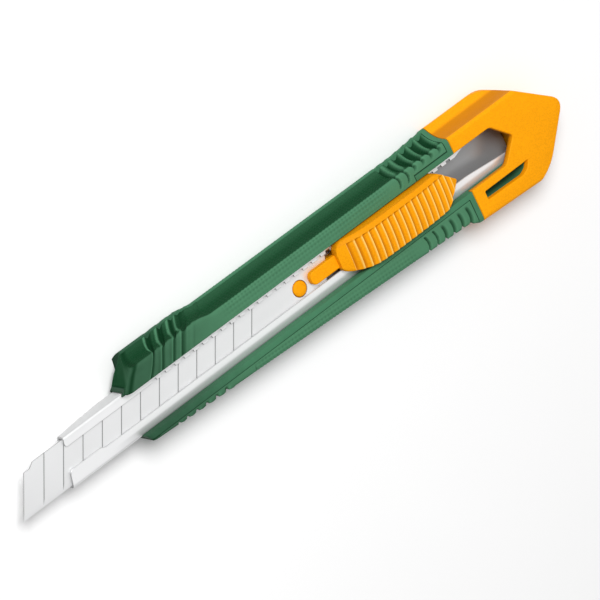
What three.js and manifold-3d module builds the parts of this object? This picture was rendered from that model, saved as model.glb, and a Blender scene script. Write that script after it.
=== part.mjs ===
// A 9 mm snap-off utility knife in millimetres: soft-gripped handle, folded steel channel, scored blade,
// thumb slider with its carrier and lock spring, and a pull-off tail cap.
// +X runs from the blade's point to the tail, +Y to the blade's spine, +Z out of the slider's face.
// The origin lies in the handle's flat back, under the peg that holds the blade.
import * as THREE from "three";
import { mergeVertices } from "three/addons/utils/BufferGeometryUtils.js";
import Module from "manifold-3d";

const wasm = await Module();
wasm.setup();

// Driving dimensions: handle
const HANDLE_FRONT = -46.2;
const HANDLE_REAR = 45.0;
const HANDLE_THICKNESS = 8.8;
const BLADE_HEIGHT = 5.8; // the blade's middle above the handle's back
const SLOT_RIM = 1.2; // hard edge left bare beside the slot
const RIM_LENGTH = 10.8; // of the bare rim on the upper bar, ahead of the cap
const GRIP_COVER = 1.2; // soft layer over the upper bar's face
const GRIP_FLOOR = 2.4; // height at which the soft layer starts above the back
const GRIP_END = 1.2; // hard collar between the soft layer and the cap
const UPPER_EDGE = 8.2; // face edge on the spine side
const THUMB_BULGE = 0.7; // how much further it stands out at the front
const BULGE_LENGTH = 25.0;
const BULGE_FADE = 4.0;
const LOWER_EDGE_FRONT = 6.5; // face edge on the cutting side, at the nose
const EDGE_TAPER = 0.045; // its widening per millimetre of length
const SPINE_FLARE = 1.65; // how far the foot stands out past the face edge
const CAP_FLARE = 2.4; // the same at the cap
const EDGE_FLARE = 0.8; // the same on the cutting side
const FLARE_SWELL = 12.0; // length ahead of the cap over which the spine side's foot swells
const EDGE_SWELL = 1.15; // how far the collar and the cap stand out past the line of the cutting side
const FOOT_HEIGHT = 2.0; // of the foot's widest line over the back
const NOSE_SLANT = 4.2; // how far the nose falls back over a bar's width
const GROOVE_WIDTH = 0.7;
const GROOVE_DEPTH = 0.5;
const GROOVE_COUNT = 6;
const THUMB_GROOVES = 4; // on the spine side at the front, where the other stretches have GROOVE_COUNT
const FRONT_GROOVE_PITCH = 2.9;
const REAR_GROOVE_PITCH = 2.4;

// Channel and blade
const CHANNEL_LEAD = 17.7; // of the channel ahead of the handle's nose
const CHANNEL_TAIL = 16.6; // of the channel past the handle's rear
const SHEET = 0.4;
const CHANNEL_DEPTH = 3.6; // from the blade's middle to the channel's underside
const CHANNEL_MOUTH_DEPTH = 1.9; // the same at the front end
const LIP_HEIGHT = 0.75; // the lips' top over the blade's middle
const UPPER_LIP_EDGE = 3.0;
const LOWER_LIP_EDGE = 2.1;
const LIP_TAPER = 1.3; // how much narrower that lip gets towards the tail
const MOUTH_LIP_EDGE = 1.6; // the cutting side's lip reaches further in at the mouth
const NOTCH_PITCH = 2.5;
const NOTCH_DEPTH = 0.5;
const NOTCH_LENGTH = 1.2;
const BLADE_LENGTH = 84.5;
const BLADE_TAIL = 8.5; // from the peg to the blade's rear end
const BLADE_WIDTH = 9.0;
const BLADE_THICKNESS = 0.4;
const SEGMENT_PITCH = 5.0;
const SEGMENT_COUNT = 13;
const SEGMENT_ANGLE = 59.5; // degrees between a score line and the edge
const SCORE_DEPTH = 0.1;
const SCORE_WIDTH = 0.25;

// Slider
const PEG_RADIUS = 1.65;
const PEG_LEAD = 3.9; // of the carrier ahead of the peg
const CARRIER_REAR = 34.3;
const CARRIER_THICKNESS = 2.5;
const CARRIER_WAIST = 1.2; // its half width under the finger
const PAD_FRONT = 9.7;
const PAD_LENGTH = 32.8; // to the pad's point
const PAD_HEIGHT = 3.2; // over the handle's face
const PAD_ARROW = 4.4; // how far the point stands out past its shoulders
const FINGER_FRONT = 2.5;
const FINGER_HALF_WIDTH = 1.5;
const FINGER_OFFSET = 0.4; // towards the spine
const RIB_PITCH = 1.7;
const RIB_COUNT = 16;
const RIB_DEPTH = 0.45; // how deep the pad's grooves bite
const RIB_FLANK = 0.9; // smooth band left beside the ribs on the spine side
const TOOTH_X = 21.8;
const SPRING_THICKNESS = 0.25;
const SPRING_HEIGHT = 1.1;
const SPRING_REACH = 8.0; // from the tooth to either end

// Cap
const CAP_LENGTH = 30.6;
const CAP_SHOULDER = 16.6; // from the seam to where the cap starts to narrow
const CAP_BELLY = 4.6; // from the shoulder to the middle of the cutting side's bowed end
const CAP_WALL = 1.2;
const CAP_FLOOR = 1.0;
const CAP_ROOF = 1.4;
const WINDOW_LENGTH = 10.7; // from the seam to the window's shoulders
const WINDOW_ARROW = 4.5; // from the shoulders to the window's point
const SNAP_SLOT_LEAD = 3.1; // from the seam to the slot
const SNAP_SLOT_LENGTH = 13.0;
const SNAP_SLOT_WIDTH = 2.2;
const SNAP_SLOT_OFFSET = 7.6; // the slot's middle, from the blade's centre line to the cutting side
const SNAP_SLOT_DEPTH = 5.0;
const CAVITY_REACH = 0.5; // of the cap's cavity past the channel's and the stub's rear end

// Clearances
const SLIDING = 0.25;
const SEATED = 0.2;
const BLADE_GAP = 0.15;
const BLADE_SIDE_GAP = 0.1; // between the blade's edges and the channel's walls

// Derived places along the length and across it
const BLADE_TIP = BLADE_TAIL - BLADE_LENGTH;
const CHANNEL_FRONT = HANDLE_FRONT - CHANNEL_LEAD;
const CHANNEL_REAR = HANDLE_REAR + CHANNEL_TAIL;
const SLOT_HALF_WIDTH = BLADE_WIDTH / 2 + BLADE_SIDE_GAP;
const CHANNEL_HALF_WIDTH = SLOT_HALF_WIDTH + SHEET;
const CARRIER_FRONT = -PEG_LEAD;
const PAD_REAR = PAD_FRONT + PAD_LENGTH;
const CAP_TIP = HANDLE_REAR + CAP_LENGTH;
const WINDOW_SHOULDER = HANDLE_REAR + WINDOW_LENGTH;
const WINDOW_POINT = WINDOW_SHOULDER + WINDOW_ARROW;
const SNAP_SLOT_FRONT = HANDLE_REAR + SNAP_SLOT_LEAD;

// Derived heights over the handle's back
const FACE_Z = HANDLE_THICKNESS;
const LIP_TOP = BLADE_HEIGHT + LIP_HEIGHT;
const LIP_UNDER = LIP_TOP - SHEET;
const BLADE_TOP = BLADE_HEIGHT + BLADE_THICKNESS / 2;
const BLADE_UNDER = BLADE_HEIGHT - BLADE_THICKNESS / 2;
const CARRIER_TOP = BLADE_UNDER - BLADE_GAP;
const PAD_UNDER = LIP_TOP + SLIDING;
const SCORE_SLOPE = 1 / Math.tan(THREE.MathUtils.degToRad(SEGMENT_ANGLE));
const BIG = 400;

// Solids and booleans

function solid(geometry) {
  const bare = geometry.clone();
  bare.deleteAttribute("normal");
  bare.deleteAttribute("uv");
  const merged = mergeVertices(bare, 1e-4);
  return new wasm.Manifold(
    new wasm.Mesh({
      numProp: 3,
      vertProperties: new Float32Array(merged.attributes.position.array),
      triVerts: new Uint32Array(merged.index.array),
    }),
  );
}

function geometryOf(body) {
  const mesh = body.getMesh();
  const geometry = new THREE.BufferGeometry();
  geometry.setAttribute("position", new THREE.BufferAttribute(mesh.vertProperties, 3));
  geometry.setIndex(new THREE.BufferAttribute(mesh.triVerts, 1));
  geometry.computeVertexNormals();
  return geometry;
}

function cut(body, ...tools) {
  return tools.reduce((rest, tool) => rest.subtract(tool), body);
}

function join(first, ...others) {
  return others.reduce((whole, other) => whole.add(other), first);
}

// A box from its low to its high corner.
function block(low, high) {
  const size = high.map((value, i) => value - low[i]);
  const box = new THREE.BoxGeometry(...size);
  box.translate(...low.map((value, i) => value + size[i] / 2));
  return solid(box);
}

function outline(points) {
  return new THREE.Shape(points.map(([x, y]) => new THREE.Vector2(x, y)));
}

// A plan outline given a thickness along Z.
function slab(shape, low, high, curveSegments = 8) {
  const plate = new THREE.ExtrudeGeometry(shape, { depth: high - low, bevelEnabled: false, curveSegments });
  plate.translate(0, 0, low);
  return solid(plate);
}

// An outline in X and Z given a width along Y.
function acrossY(shape, low, high) {
  const plate = new THREE.ExtrudeGeometry(shape, { depth: high - low, bevelEnabled: false });
  plate.rotateX(Math.PI / 2);
  plate.translate(0, high, 0);
  return solid(plate);
}

// A polygon with its corners rounded: each point is [x, y] or [x, y, radius].
function rounded(points) {
  const shape = new THREE.Shape();
  const corners = points.map(([x, y, radius = 0]) => ({ at: new THREE.Vector2(x, y), radius }));
  corners.forEach(({ at, radius }, i) => {
    const before = corners.at(i - 1).at;
    const after = corners[(i + 1) % corners.length].at;
    const start = at.clone().add(before.clone().sub(at).setLength(radius || 1e-3));
    const end = at.clone().add(after.clone().sub(at).setLength(radius || 1e-3));
    if (i === 0) shape.moveTo(start.x, start.y);
    else shape.lineTo(start.x, start.y);
    if (radius) shape.quadraticCurveTo(at.x, at.y, end.x, end.y);
  });
  shape.closePath();
  return shape;
}

// Skins a list of { x, ring } stations, each ring the same number of [y, z] points, anticlockwise from +X.
function loft(stations) {
  const size = stations[0].ring.length;
  const positions = stations.flatMap(({ x, ring }) => ring.flatMap(([y, z]) => [x, y, z]));
  const index = [];
  for (let s = 0; s + 1 < stations.length; s += 1) {
    for (let i = 0; i < size; i += 1) {
      const j = (i + 1) % size;
      const a = s * size + i;
      const b = s * size + j;
      const c = b + size;
      const d = a + size;
      index.push(a, b, c, a, c, d);
    }
  }
  const flat = stations[0].ring.map(([y, z]) => new THREE.Vector2(y, z));
  const last = (stations.length - 1) * size;
  for (const [a, b, c] of THREE.ShapeUtils.triangulateShape(flat, [])) {
    index.push(a, c, b, last + a, last + b, last + c);
  }
  const geometry = new THREE.BufferGeometry();
  geometry.setAttribute("position", new THREE.Float32BufferAttribute(positions, 3));
  geometry.setIndex(index);
  return solid(geometry);
}

// A band of even thickness along a plan polyline, standing from low to high.
function band(points, thickness, low, high) {
  const line = points.map(([x, y]) => new THREE.Vector2(x, y));
  const offset = line.map((point, i) => {
    const back = line[Math.max(i - 1, 0)];
    const ahead = line[Math.min(i + 1, line.length - 1)];
    const into = point.clone().sub(back).normalize();
    const out = ahead.clone().sub(point).normalize();
    const along = into.lengthSq() ? into.clone() : out.clone();
    if (into.lengthSq() && out.lengthSq()) along.add(out).normalize();
    const side = new THREE.Vector2(-along.y, along.x);
    const lean = out.lengthSq() && into.lengthSq() ? side.dot(new THREE.Vector2(-out.y, out.x)) : 1;
    return side.multiplyScalar(thickness / 2 / lean);
  });
  const left = line.map((point, i) => point.clone().add(offset[i]));
  const right = line.map((point, i) => point.clone().sub(offset[i])).reverse();
  return slab(new THREE.Shape([...left, ...right]), low, high);
}

// The handle's and the cap's shared outside

function lerp(x, from, to) {
  const [x0, y0] = from;
  const [x1, y1] = to;
  return THREE.MathUtils.mapLinear(THREE.MathUtils.clamp(x, x0, x1), x0, x1, y0, y1);
}

function upperEdge(x) {
  const bulgeEnd = HANDLE_FRONT + BULGE_LENGTH;
  return UPPER_EDGE + lerp(x, [bulgeEnd - BULGE_FADE, THUMB_BULGE], [bulgeEnd, 0]);
}

function lowerEdge(x) {
  const swell = lerp(x, [HANDLE_REAR - 3.5, 0], [HANDLE_REAR - 0.8, EDGE_SWELL]);
  return LOWER_EDGE_FRONT + EDGE_TAPER * (x - HANDLE_FRONT) + swell;
}

function spineFlare(x) {
  return lerp(x, [HANDLE_REAR - FLARE_SWELL, SPINE_FLARE], [HANDLE_REAR, CAP_FLARE]);
}

// Half of the section on one side: a crowned face, a steep wall and a flared foot.
function flank(edge, flare) {
  const top = HANDLE_THICKNESS;
  return [
    [edge - 1.2, top],
    [edge - 0.3, top - 0.2],
    [edge + 0.1, top - 0.8],
    [edge + 0.55 * flare, (top + FOOT_HEIGHT) / 2 - 1],
    [edge + flare, FOOT_HEIGHT],
    [edge + 0.78 * flare, 0.45 * FOOT_HEIGHT],
    [edge + 0.4 * flare, 0],
  ];
}

// Where the outline changes its course along the length.
const HULL_BREAKS = [
  HANDLE_FRONT + BULGE_LENGTH - BULGE_FADE,
  HANDLE_FRONT + BULGE_LENGTH,
  HANDLE_REAR - FLARE_SWELL,
  HANDLE_REAR - 3.5,
  HANDLE_REAR - 0.8,
  HANDLE_REAR,
];

function hullStations(from, to) {
  const between = HULL_BREAKS.filter((x) => x > from && x < to);
  return [from, ...between, to].map((x) => {
    const upper = flank(upperEdge(x), spineFlare(x));
    const lower = flank(lowerEdge(x), EDGE_FLARE).map(([y, z]) => [-y, z]);
    return { x, ring: [...upper.reverse(), ...lower] };
  });
}

const FLANK_REACH = 16;

function handleHull() {
  const nose = rounded([
    [HANDLE_FRONT, -SLOT_HALF_WIDTH],
    [HANDLE_FRONT + NOSE_SLANT / 2, -LOWER_EDGE_FRONT - EDGE_FLARE, 1.2],
    [HANDLE_FRONT + 2 * NOSE_SLANT, -FLANK_REACH],
    [HANDLE_REAR, -FLANK_REACH],
    [HANDLE_REAR, FLANK_REACH],
    [HANDLE_FRONT + 3 * NOSE_SLANT, FLANK_REACH],
    [HANDLE_FRONT + NOSE_SLANT, UPPER_EDGE + THUMB_BULGE, 2],
    [HANDLE_FRONT, SLOT_HALF_WIDTH],
  ]);
  return loft(hullStations(HANDLE_FRONT - 1, HANDLE_REAR)).intersect(slab(nose, 0, HANDLE_THICKNESS));
}

// An arrow-shaped plan from the seam to the tip: the cap's outside, and inset its cavity and the stub in it.
function arrowPlan(upper, lowerAtSeam, lowerAtShoulder, inset) {
  const shoulder = HANDLE_REAR + CAP_SHOULDER - inset / 2;
  const tip = CAP_TIP - 1.5 * inset;
  return rounded([
    [HANDLE_REAR - 1, -lowerAtSeam],
    [shoulder - 1, -lowerAtShoulder, 2.6],
    [shoulder + CAP_BELLY, -0.8 * lowerAtShoulder, 2.6],
    [tip, 0, 3],
    [shoulder, upper, 4],
    [HANDLE_REAR - 1, upper],
  ]);
}

// The cavity's sides run parallel, so that the cap draws straight off the stub.
function cavityPlan(inset) {
  const lower = lowerEdge(HANDLE_REAR) - inset;
  return arrowPlan(UPPER_EDGE - inset, lower, lower, inset);
}

function windowPlan(front) {
  return outline([
    [front, -SLOT_HALF_WIDTH],
    [WINDOW_SHOULDER, -SLOT_HALF_WIDTH],
    [WINDOW_POINT, 0],
    [WINDOW_SHOULDER, SLOT_HALF_WIDTH],
    [front, SLOT_HALF_WIDTH],
  ]);
}

function snapSlot(low) {
  const middle = -SNAP_SLOT_OFFSET;
  const rear = SNAP_SLOT_FRONT + SNAP_SLOT_LENGTH;
  const shape = outline([
    [SNAP_SLOT_FRONT, middle - SNAP_SLOT_WIDTH / 2 + 0.3],
    [rear - 2.6, middle - SNAP_SLOT_WIDTH / 2],
    [rear - 1, middle - 0.4],
    [rear, middle + SNAP_SLOT_WIDTH / 2],
    [SNAP_SLOT_FRONT, middle + SNAP_SLOT_WIDTH / 2],
  ]);
  return slab(shape, low, FACE_Z + 1);
}

// The rib grooves of a grip, cut square across the bar or slanted like the blade's score lines.
function grooves(first, count, pitch, lowY, highY, slant) {
  return Array.from({ length: count }, (_, i) => {
    const x = first + i * pitch;
    const lean = slant * (highY - lowY);
    const shape = outline([
      [x, lowY],
      [x + GROOVE_WIDTH, lowY],
      [x + lean + GROOVE_WIDTH, highY],
      [x + lean, highY],
    ]);
    return slab(shape, FACE_Z - GROOVE_DEPTH, FACE_Z + 1);
  });
}

// Handle

const gripStart = SLOT_HALF_WIDTH + SLOT_RIM;
const coreTop = FACE_Z - GRIP_COVER;
const rimStart = HANDLE_REAR - RIM_LENGTH;
const frontGrooves = HANDLE_FRONT + 6.2;
const rearGrooves = HANDLE_REAR - GRIP_END - 1.6 - (GROOVE_COUNT - 1) * REAR_GROOVE_PITCH - GROOVE_WIDTH;

// The plan areas that the soft layer takes, drawn inwards by a gap where the hard core meets it.
function gripZones(side, gap) {
  const inner = side > 0 ? [gripStart + gap, FLANK_REACH] : [-FLANK_REACH, -gripStart - gap];
  const rear = HANDLE_REAR - GRIP_END - gap;
  const outer = block([-BIG, inner[0], GRIP_FLOOR + gap], [rear, inner[1], BIG]);
  if (side < 0) return outer;
  const cover = block([-BIG, 0, coreTop + gap], [rimStart - gap, FLANK_REACH, BIG]);
  return outer.add(cover);
}

function slotRoom() {
  return block([-BIG, -SLOT_HALF_WIDTH, LIP_TOP], [CHANNEL_REAR + BLADE_GAP, SLOT_HALF_WIDTH, BIG]);
}

function handleCore(hull) {
  const stub = slab(cavityPlan(CAP_WALL + SEATED), CAP_FLOOR + SEATED, FACE_Z - CAP_ROOF - SEATED).intersect(
    block([HANDLE_REAR - 1, -BIG, -BIG], [CHANNEL_REAR, BIG, BIG]),
  );
  const channelRoom = block(
    [-BIG, -CHANNEL_HALF_WIDTH - BLADE_GAP, BLADE_HEIGHT - CHANNEL_DEPTH - BLADE_GAP],
    [CHANNEL_REAR + BLADE_GAP, CHANNEL_HALF_WIDTH + BLADE_GAP, LIP_TOP + BLADE_GAP],
  );
  return cut(
    hull.add(stub),
    gripZones(1, 0),
    gripZones(-1, 0),
    channelRoom,
    slotRoom(),
    snapSlot(FACE_Z - SNAP_SLOT_DEPTH),
  );
}

function upperGrip(hull) {
  return cut(
    hull.intersect(gripZones(1, SEATED)),
    slotRoom(),
    ...grooves(frontGrooves, THUMB_GROOVES, FRONT_GROOVE_PITCH, SLOT_HALF_WIDTH, FLANK_REACH, SCORE_SLOPE),
    ...grooves(rearGrooves, GROOVE_COUNT, REAR_GROOVE_PITCH, gripStart + 0.8, FLANK_REACH, 0.1),
  );
}

function lowerGrip(hull) {
  return cut(
    hull.intersect(gripZones(-1, SEATED)),
    ...grooves(frontGrooves, GROOVE_COUNT, FRONT_GROOVE_PITCH, -FLANK_REACH, -gripStart - 0.8, 0.3),
    ...grooves(rearGrooves, GROOVE_COUNT, REAR_GROOVE_PITCH, -FLANK_REACH, -gripStart - 0.8, 0.1),
  );
}

// Steel

// The notches stand in line with the spring's tooth at rest.
function notchPlaces() {
  const forward = Math.floor((TOOTH_X - HANDLE_FRONT - 6) / NOTCH_PITCH);
  const back = Math.floor((HANDLE_REAR + 1 - TOOTH_X) / NOTCH_PITCH);
  return Array.from({ length: forward + back + 1 }, (_, i) => TOOTH_X + (i - forward) * NOTCH_PITCH);
}

function bladeChannel() {
  const widen = HANDLE_FRONT - 7.5; // the cutting side's lip steps back here
  const flat = HANDLE_FRONT - 3.5; // the floor is level from here to the rear
  const ring = (depth, lip) => {
    const low = BLADE_HEIGHT - depth;
    const out = CHANNEL_HALF_WIDTH;
    const inn = CHANNEL_HALF_WIDTH - SHEET;
    return [
      [UPPER_LIP_EDGE, LIP_TOP],
      [-lip, LIP_TOP],
      [-lip, LIP_UNDER],
      [-inn, LIP_UNDER],
      [-inn, low + SHEET],
      [inn, low + SHEET],
      [inn, LIP_UNDER],
      [UPPER_LIP_EDGE, LIP_UNDER],
    ].flatMap((point, i) => {
      if (i === 0) return [point, [out, LIP_TOP], [out, low], [-out, low], [-out, LIP_TOP]];
      return [point];
    });
  };
  const depthAt = (x) => lerp(x, [CHANNEL_FRONT, CHANNEL_MOUTH_DEPTH], [flat, CHANNEL_DEPTH]);
  const stations = [
    { x: CHANNEL_FRONT, lip: MOUTH_LIP_EDGE },
    { x: widen - 1.5, lip: MOUTH_LIP_EDGE },
    { x: widen, lip: LOWER_LIP_EDGE },
    { x: flat, lip: LOWER_LIP_EDGE },
    { x: HANDLE_REAR + 2, lip: LOWER_LIP_EDGE },
    { x: CHANNEL_REAR, lip: LOWER_LIP_EDGE + LIP_TAPER },
  ];
  const folded = loft(stations.map(({ x, lip }) => ({ x, ring: ring(depthAt(x), lip).reverse() })));
  const mouthSlant = outline([
    [CHANNEL_FRONT - 5, -BIG],
    [CHANNEL_FRONT, -CHANNEL_HALF_WIDTH],
    [CHANNEL_FRONT + 3, CHANNEL_HALF_WIDTH],
    [CHANNEL_FRONT + 3, BIG],
    [CHANNEL_FRONT - 9, BIG],
  ]);
  const notches = notchPlaces().map((x) =>
    block(
      [x - NOTCH_LENGTH / 2, UPPER_LIP_EDGE - 1, LIP_UNDER - BLADE_GAP],
      [x + NOTCH_LENGTH / 2, UPPER_LIP_EDGE + NOTCH_DEPTH, LIP_TOP + 1],
    ),
  );
  const lipEnd = outline([
    [HANDLE_REAR + 1, 0],
    [HANDLE_REAR + 1, UPPER_LIP_EDGE - 0.05],
    [HANDLE_REAR + 6.5, CHANNEL_HALF_WIDTH - SHEET],
    [BIG, CHANNEL_HALF_WIDTH - SHEET],
    [BIG, 0],
  ]);
  return cut(
    folded,
    slab(mouthSlant, -1, FACE_Z),
    slab(lipEnd, LIP_UNDER - BLADE_GAP, FACE_Z),
    ...notches,
  );
}

function blade() {
  const half = BLADE_WIDTH / 2;
  const rear = BLADE_TIP + BLADE_LENGTH;
  const spineStart = BLADE_TIP + 7.4;
  const plan = outline([
    [BLADE_TIP, -half],
    [rear - 3.2, -half],
    [rear, half - 2],
    [rear, half - 0.6],
    [rear - 0.6, half],
    [spineStart, half],
    [BLADE_TIP + 6.2, half - 0.85],
    [BLADE_TIP + SCORE_SLOPE * (BLADE_WIDTH - 0.85), half - 0.85],
  ]);
  const hole = new THREE.CylinderGeometry(PEG_RADIUS + BLADE_GAP, PEG_RADIUS + BLADE_GAP, 4, 24);
  hole.rotateX(Math.PI / 2);
  hole.translate(0, 0, BLADE_HEIGHT);
  const scores = Array.from({ length: SEGMENT_COUNT - 1 }, (_, i) => {
    const x = BLADE_TIP + (i + 1) * SEGMENT_PITCH;
    const shape = outline([
      [x - SCORE_SLOPE, -half - 1],
      [x - SCORE_SLOPE + SCORE_WIDTH, -half - 1],
      [x + SCORE_SLOPE * (BLADE_WIDTH + 1) + SCORE_WIDTH, half + 1],
      [x + SCORE_SLOPE * (BLADE_WIDTH + 1), half + 1],
    ]);
    return slab(shape, BLADE_TOP - SCORE_DEPTH, BLADE_TOP + 1);
  });
  const bevel = 1.3; // width of the ground edge on each side
  const grind = (side) => {
    const far = half + 0.4;
    const flat = BLADE_HEIGHT + (side * BLADE_THICKNESS) / 2;
    const edge = BLADE_HEIGHT + side * 0.02;
    const ring = [
      [-half + bevel, flat],
      [-half, edge],
      [-far, edge],
      [-far, flat + side],
      [-half + bevel, flat + side],
    ];
    const turned = side > 0 ? ring.reverse() : ring;
    return loft([
      { x: BLADE_TIP - 1, ring: turned },
      { x: rear + 1, ring: turned },
    ]);
  };
  return cut(slab(plan, BLADE_UNDER, BLADE_TOP), solid(hole), ...scores, grind(1), grind(-1));
}

// Slider

const STEM_FRONT = PAD_FRONT + 3;
const STEM_REAR = CARRIER_REAR - 2;
const STEM_TOP = PAD_UNDER + 1.2;
const STEM_LOW_Y = -LOWER_LIP_EDGE + 0.4;
const SPRING_Y = UPPER_LIP_EDGE - 0.6;
const STEM_HIGH_Y = SPRING_Y - SPRING_THICKNESS / 2 - BLADE_GAP;
const SPRING_LOW = LIP_UNDER - 0.35;

function springPath() {
  const end = SPRING_REACH;
  const foot = 0.9; // bent ends, held in the carrier
  const tip = UPPER_LIP_EDGE + NOTCH_DEPTH - BLADE_GAP - SPRING_THICKNESS;
  return [
    [TOOTH_X - end, STEM_HIGH_Y - foot],
    [TOOTH_X - end, SPRING_Y],
    [TOOTH_X - 1.2, SPRING_Y],
    [TOOTH_X, tip],
    [TOOTH_X + 1.2, SPRING_Y],
    [TOOTH_X + end, SPRING_Y],
    [TOOTH_X + end, STEM_HIGH_Y - foot],
  ];
}

function lockSpring() {
  return band(springPath(), SPRING_THICKNESS, SPRING_LOW, SPRING_LOW + SPRING_HEIGHT);
}

function bladeCarrier() {
  const half = CHANNEL_HALF_WIDTH - SHEET - SLIDING;
  const nose = 1.2;
  const waistStart = PEG_LEAD;
  const waistEnd = PAD_FRONT + 2;
  const side = [
    [CARRIER_FRONT, half - nose],
    [CARRIER_FRONT + nose, half],
    [waistStart - nose, half],
    [waistStart, CARRIER_WAIST],
    [waistEnd, CARRIER_WAIST],
    [waistEnd + nose, half],
    [CARRIER_REAR - nose, half],
    [CARRIER_REAR, half - nose],
  ];
  const otherSide = side.map(([x, y]) => [x, -y]);
  const runner = slab(
    outline([...otherSide, ...side.reverse()]),
    CARRIER_TOP - CARRIER_THICKNESS,
    CARRIER_TOP,
  );
  const domeRise = 0.35;
  const pegTop = LIP_TOP - 0.1;
  const profile = [
    [0, CARRIER_TOP - 0.5],
    [PEG_RADIUS, CARRIER_TOP - 0.5],
    [PEG_RADIUS, pegTop - domeRise],
    [0.85 * PEG_RADIUS, pegTop - 0.4 * domeRise],
    [0.5 * PEG_RADIUS, pegTop - 0.1 * domeRise],
    [0, pegTop],
  ].map(([r, z]) => new THREE.Vector2(r, z));
  const peg = new THREE.LatheGeometry(profile, 24);
  peg.rotateX(Math.PI / 2);
  const stem = block([STEM_FRONT, STEM_LOW_Y, CARRIER_TOP - 0.5], [STEM_REAR, STEM_HIGH_Y, STEM_TOP]);
  const room = SPRING_THICKNESS / 2 + BLADE_GAP;
  const feet = [-SPRING_REACH, SPRING_REACH].map((reach) =>
    block(
      [TOOTH_X + reach - room, STEM_HIGH_Y - 1.2, SPRING_LOW - BLADE_GAP],
      [TOOTH_X + reach + room, STEM_HIGH_Y + 1, BIG],
    ),
  );
  const trough = block(
    [TOOTH_X - SPRING_REACH - 0.6, STEM_HIGH_Y - 0.01, SPRING_LOW - BLADE_GAP],
    [TOOTH_X + SPRING_REACH + 0.6, BIG, BIG],
  );
  return cut(join(runner, solid(peg), stem), ...feet, trough);
}

function thumbPad() {
  const half = SLOT_HALF_WIDTH - SLIDING;
  const top = FACE_Z + PAD_HEIGHT;
  const shoulder = PAD_REAR - PAD_ARROW;
  const plan = rounded([
    [PAD_FRONT, FINGER_OFFSET - FINGER_HALF_WIDTH],
    [PAD_FRONT + 1.5, -half, 1],
    [shoulder, -half, 1.5],
    [PAD_REAR, 0, 0.8],
    [shoulder, half, 1.5],
    [PAD_FRONT + 1, half, 1],
    [PAD_FRONT, FINGER_OFFSET + FINGER_HALF_WIDTH],
  ]);
  // The long section of the pad: it climbs from the finger, runs level and falls to the point.
  const section = outline([
    [PAD_FRONT - 0.5, PAD_UNDER],
    [PAD_REAR + 1, PAD_UNDER],
    [PAD_REAR + 1, FACE_Z + 0.4],
    [shoulder + 0.5, top - 0.9],
    [shoulder - 5, top - 0.1],
    [PAD_FRONT + 12, top],
    [PAD_FRONT + 5, top - 0.7],
    [PAD_FRONT - 0.5, FACE_Z - 0.6],
  ]);
  const body = acrossY(section, -1.5 * half, 1.5 * half).intersect(slab(plan, PAD_UNDER, top + 1));
  const core = body.translate(0, 0, -RIB_DEPTH);
  const ribs = Array.from({ length: RIB_COUNT }, (_, i) => {
    const x = PAD_FRONT + 4.2 + i * RIB_PITCH;
    const groove = outline([
      [x, FACE_Z + 0.6],
      [x + RIB_PITCH / 2, FACE_Z + 0.6],
      [x + RIB_PITCH / 2, BIG],
      [x, BIG],
    ]);
    return acrossY(groove, -half - 1, half - RIB_FLANK).subtract(core);
  });
  const finger = slab(
    rounded([
      [STEM_FRONT - 0.5, FINGER_OFFSET - FINGER_HALF_WIDTH],
      [STEM_FRONT - 0.5, FINGER_OFFSET + FINGER_HALF_WIDTH],
      [FINGER_FRONT, FINGER_OFFSET + FINGER_HALF_WIDTH, FINGER_HALF_WIDTH],
      [FINGER_FRONT, FINGER_OFFSET - FINGER_HALF_WIDTH, FINGER_HALF_WIDTH],
    ].reverse()),
    BLADE_TOP + BLADE_GAP,
    PAD_UNDER + 0.6,
  );
  const bladeEnd = BLADE_TIP + BLADE_LENGTH + BLADE_GAP;
  const bladeRoom = block([-BIG, -BIG, -BIG], [bladeEnd, BIG, BLADE_TOP + BLADE_GAP]);
  const socket = block(
    [STEM_FRONT - SEATED, STEM_LOW_Y - SEATED, -BIG],
    [STEM_REAR + SEATED, STEM_HIGH_Y + SEATED, STEM_TOP + SEATED],
  );
  const springRoom = block(
    [TOOTH_X - SPRING_REACH - 1, -BIG, -BIG],
    [TOOTH_X + SPRING_REACH + 1, BIG, SPRING_LOW + SPRING_HEIGHT + BLADE_GAP],
  );
  return cut(join(cut(body, ...ribs), finger), bladeRoom, socket, springRoom);
}

// Cap

function tailCap() {
  const front = HANDLE_REAR + SEATED;
  const upper = UPPER_EDGE + CAP_FLARE;
  const lowerAt = (x) => lowerEdge(x) + EDGE_FLARE;
  const plan = arrowPlan(upper, lowerAt(HANDLE_REAR - 1), lowerAt(HANDLE_REAR + CAP_SHOULDER), 0);
  const outside = loft(hullStations(front, CAP_TIP + 1)).intersect(slab(plan, 0, FACE_Z, 12));
  const inside = slab(cavityPlan(CAP_WALL), CAP_FLOOR, FACE_Z - CAP_ROOF).intersect(
    block([-BIG, -BIG, -BIG], [CHANNEL_REAR + CAVITY_REACH, BIG, BIG]),
  );
  const window = slab(windowPlan(HANDLE_REAR - 5), CAP_FLOOR + 1, FACE_Z + 1);
  return cut(outside, inside, window, snapSlot(CAP_FLOOR + 1));
}

// The assembly

const finishes = {
  hardGreen: { color: 0x1c5f3a, roughness: 0.4, metalness: 0 },
  softGreen: { color: 0x2f7148, roughness: 0.7, metalness: 0 },
  channelSteel: { color: 0xd4d6d8, roughness: 0.25, metalness: 1 },
  bladeSteel: { color: 0xe2e4e6, roughness: 0.3, metalness: 1 },
  springSteel: { color: 0xb4b8bc, roughness: 0.35, metalness: 1 },
  amber: { color: 0xffa50f, roughness: 0.45, metalness: 0 },
};

function piece(name, finish, body) {
  const mesh = new THREE.Mesh(geometryOf(body), new THREE.MeshStandardMaterial(finishes[finish]));
  mesh.name = name;
  return mesh;
}

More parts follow.
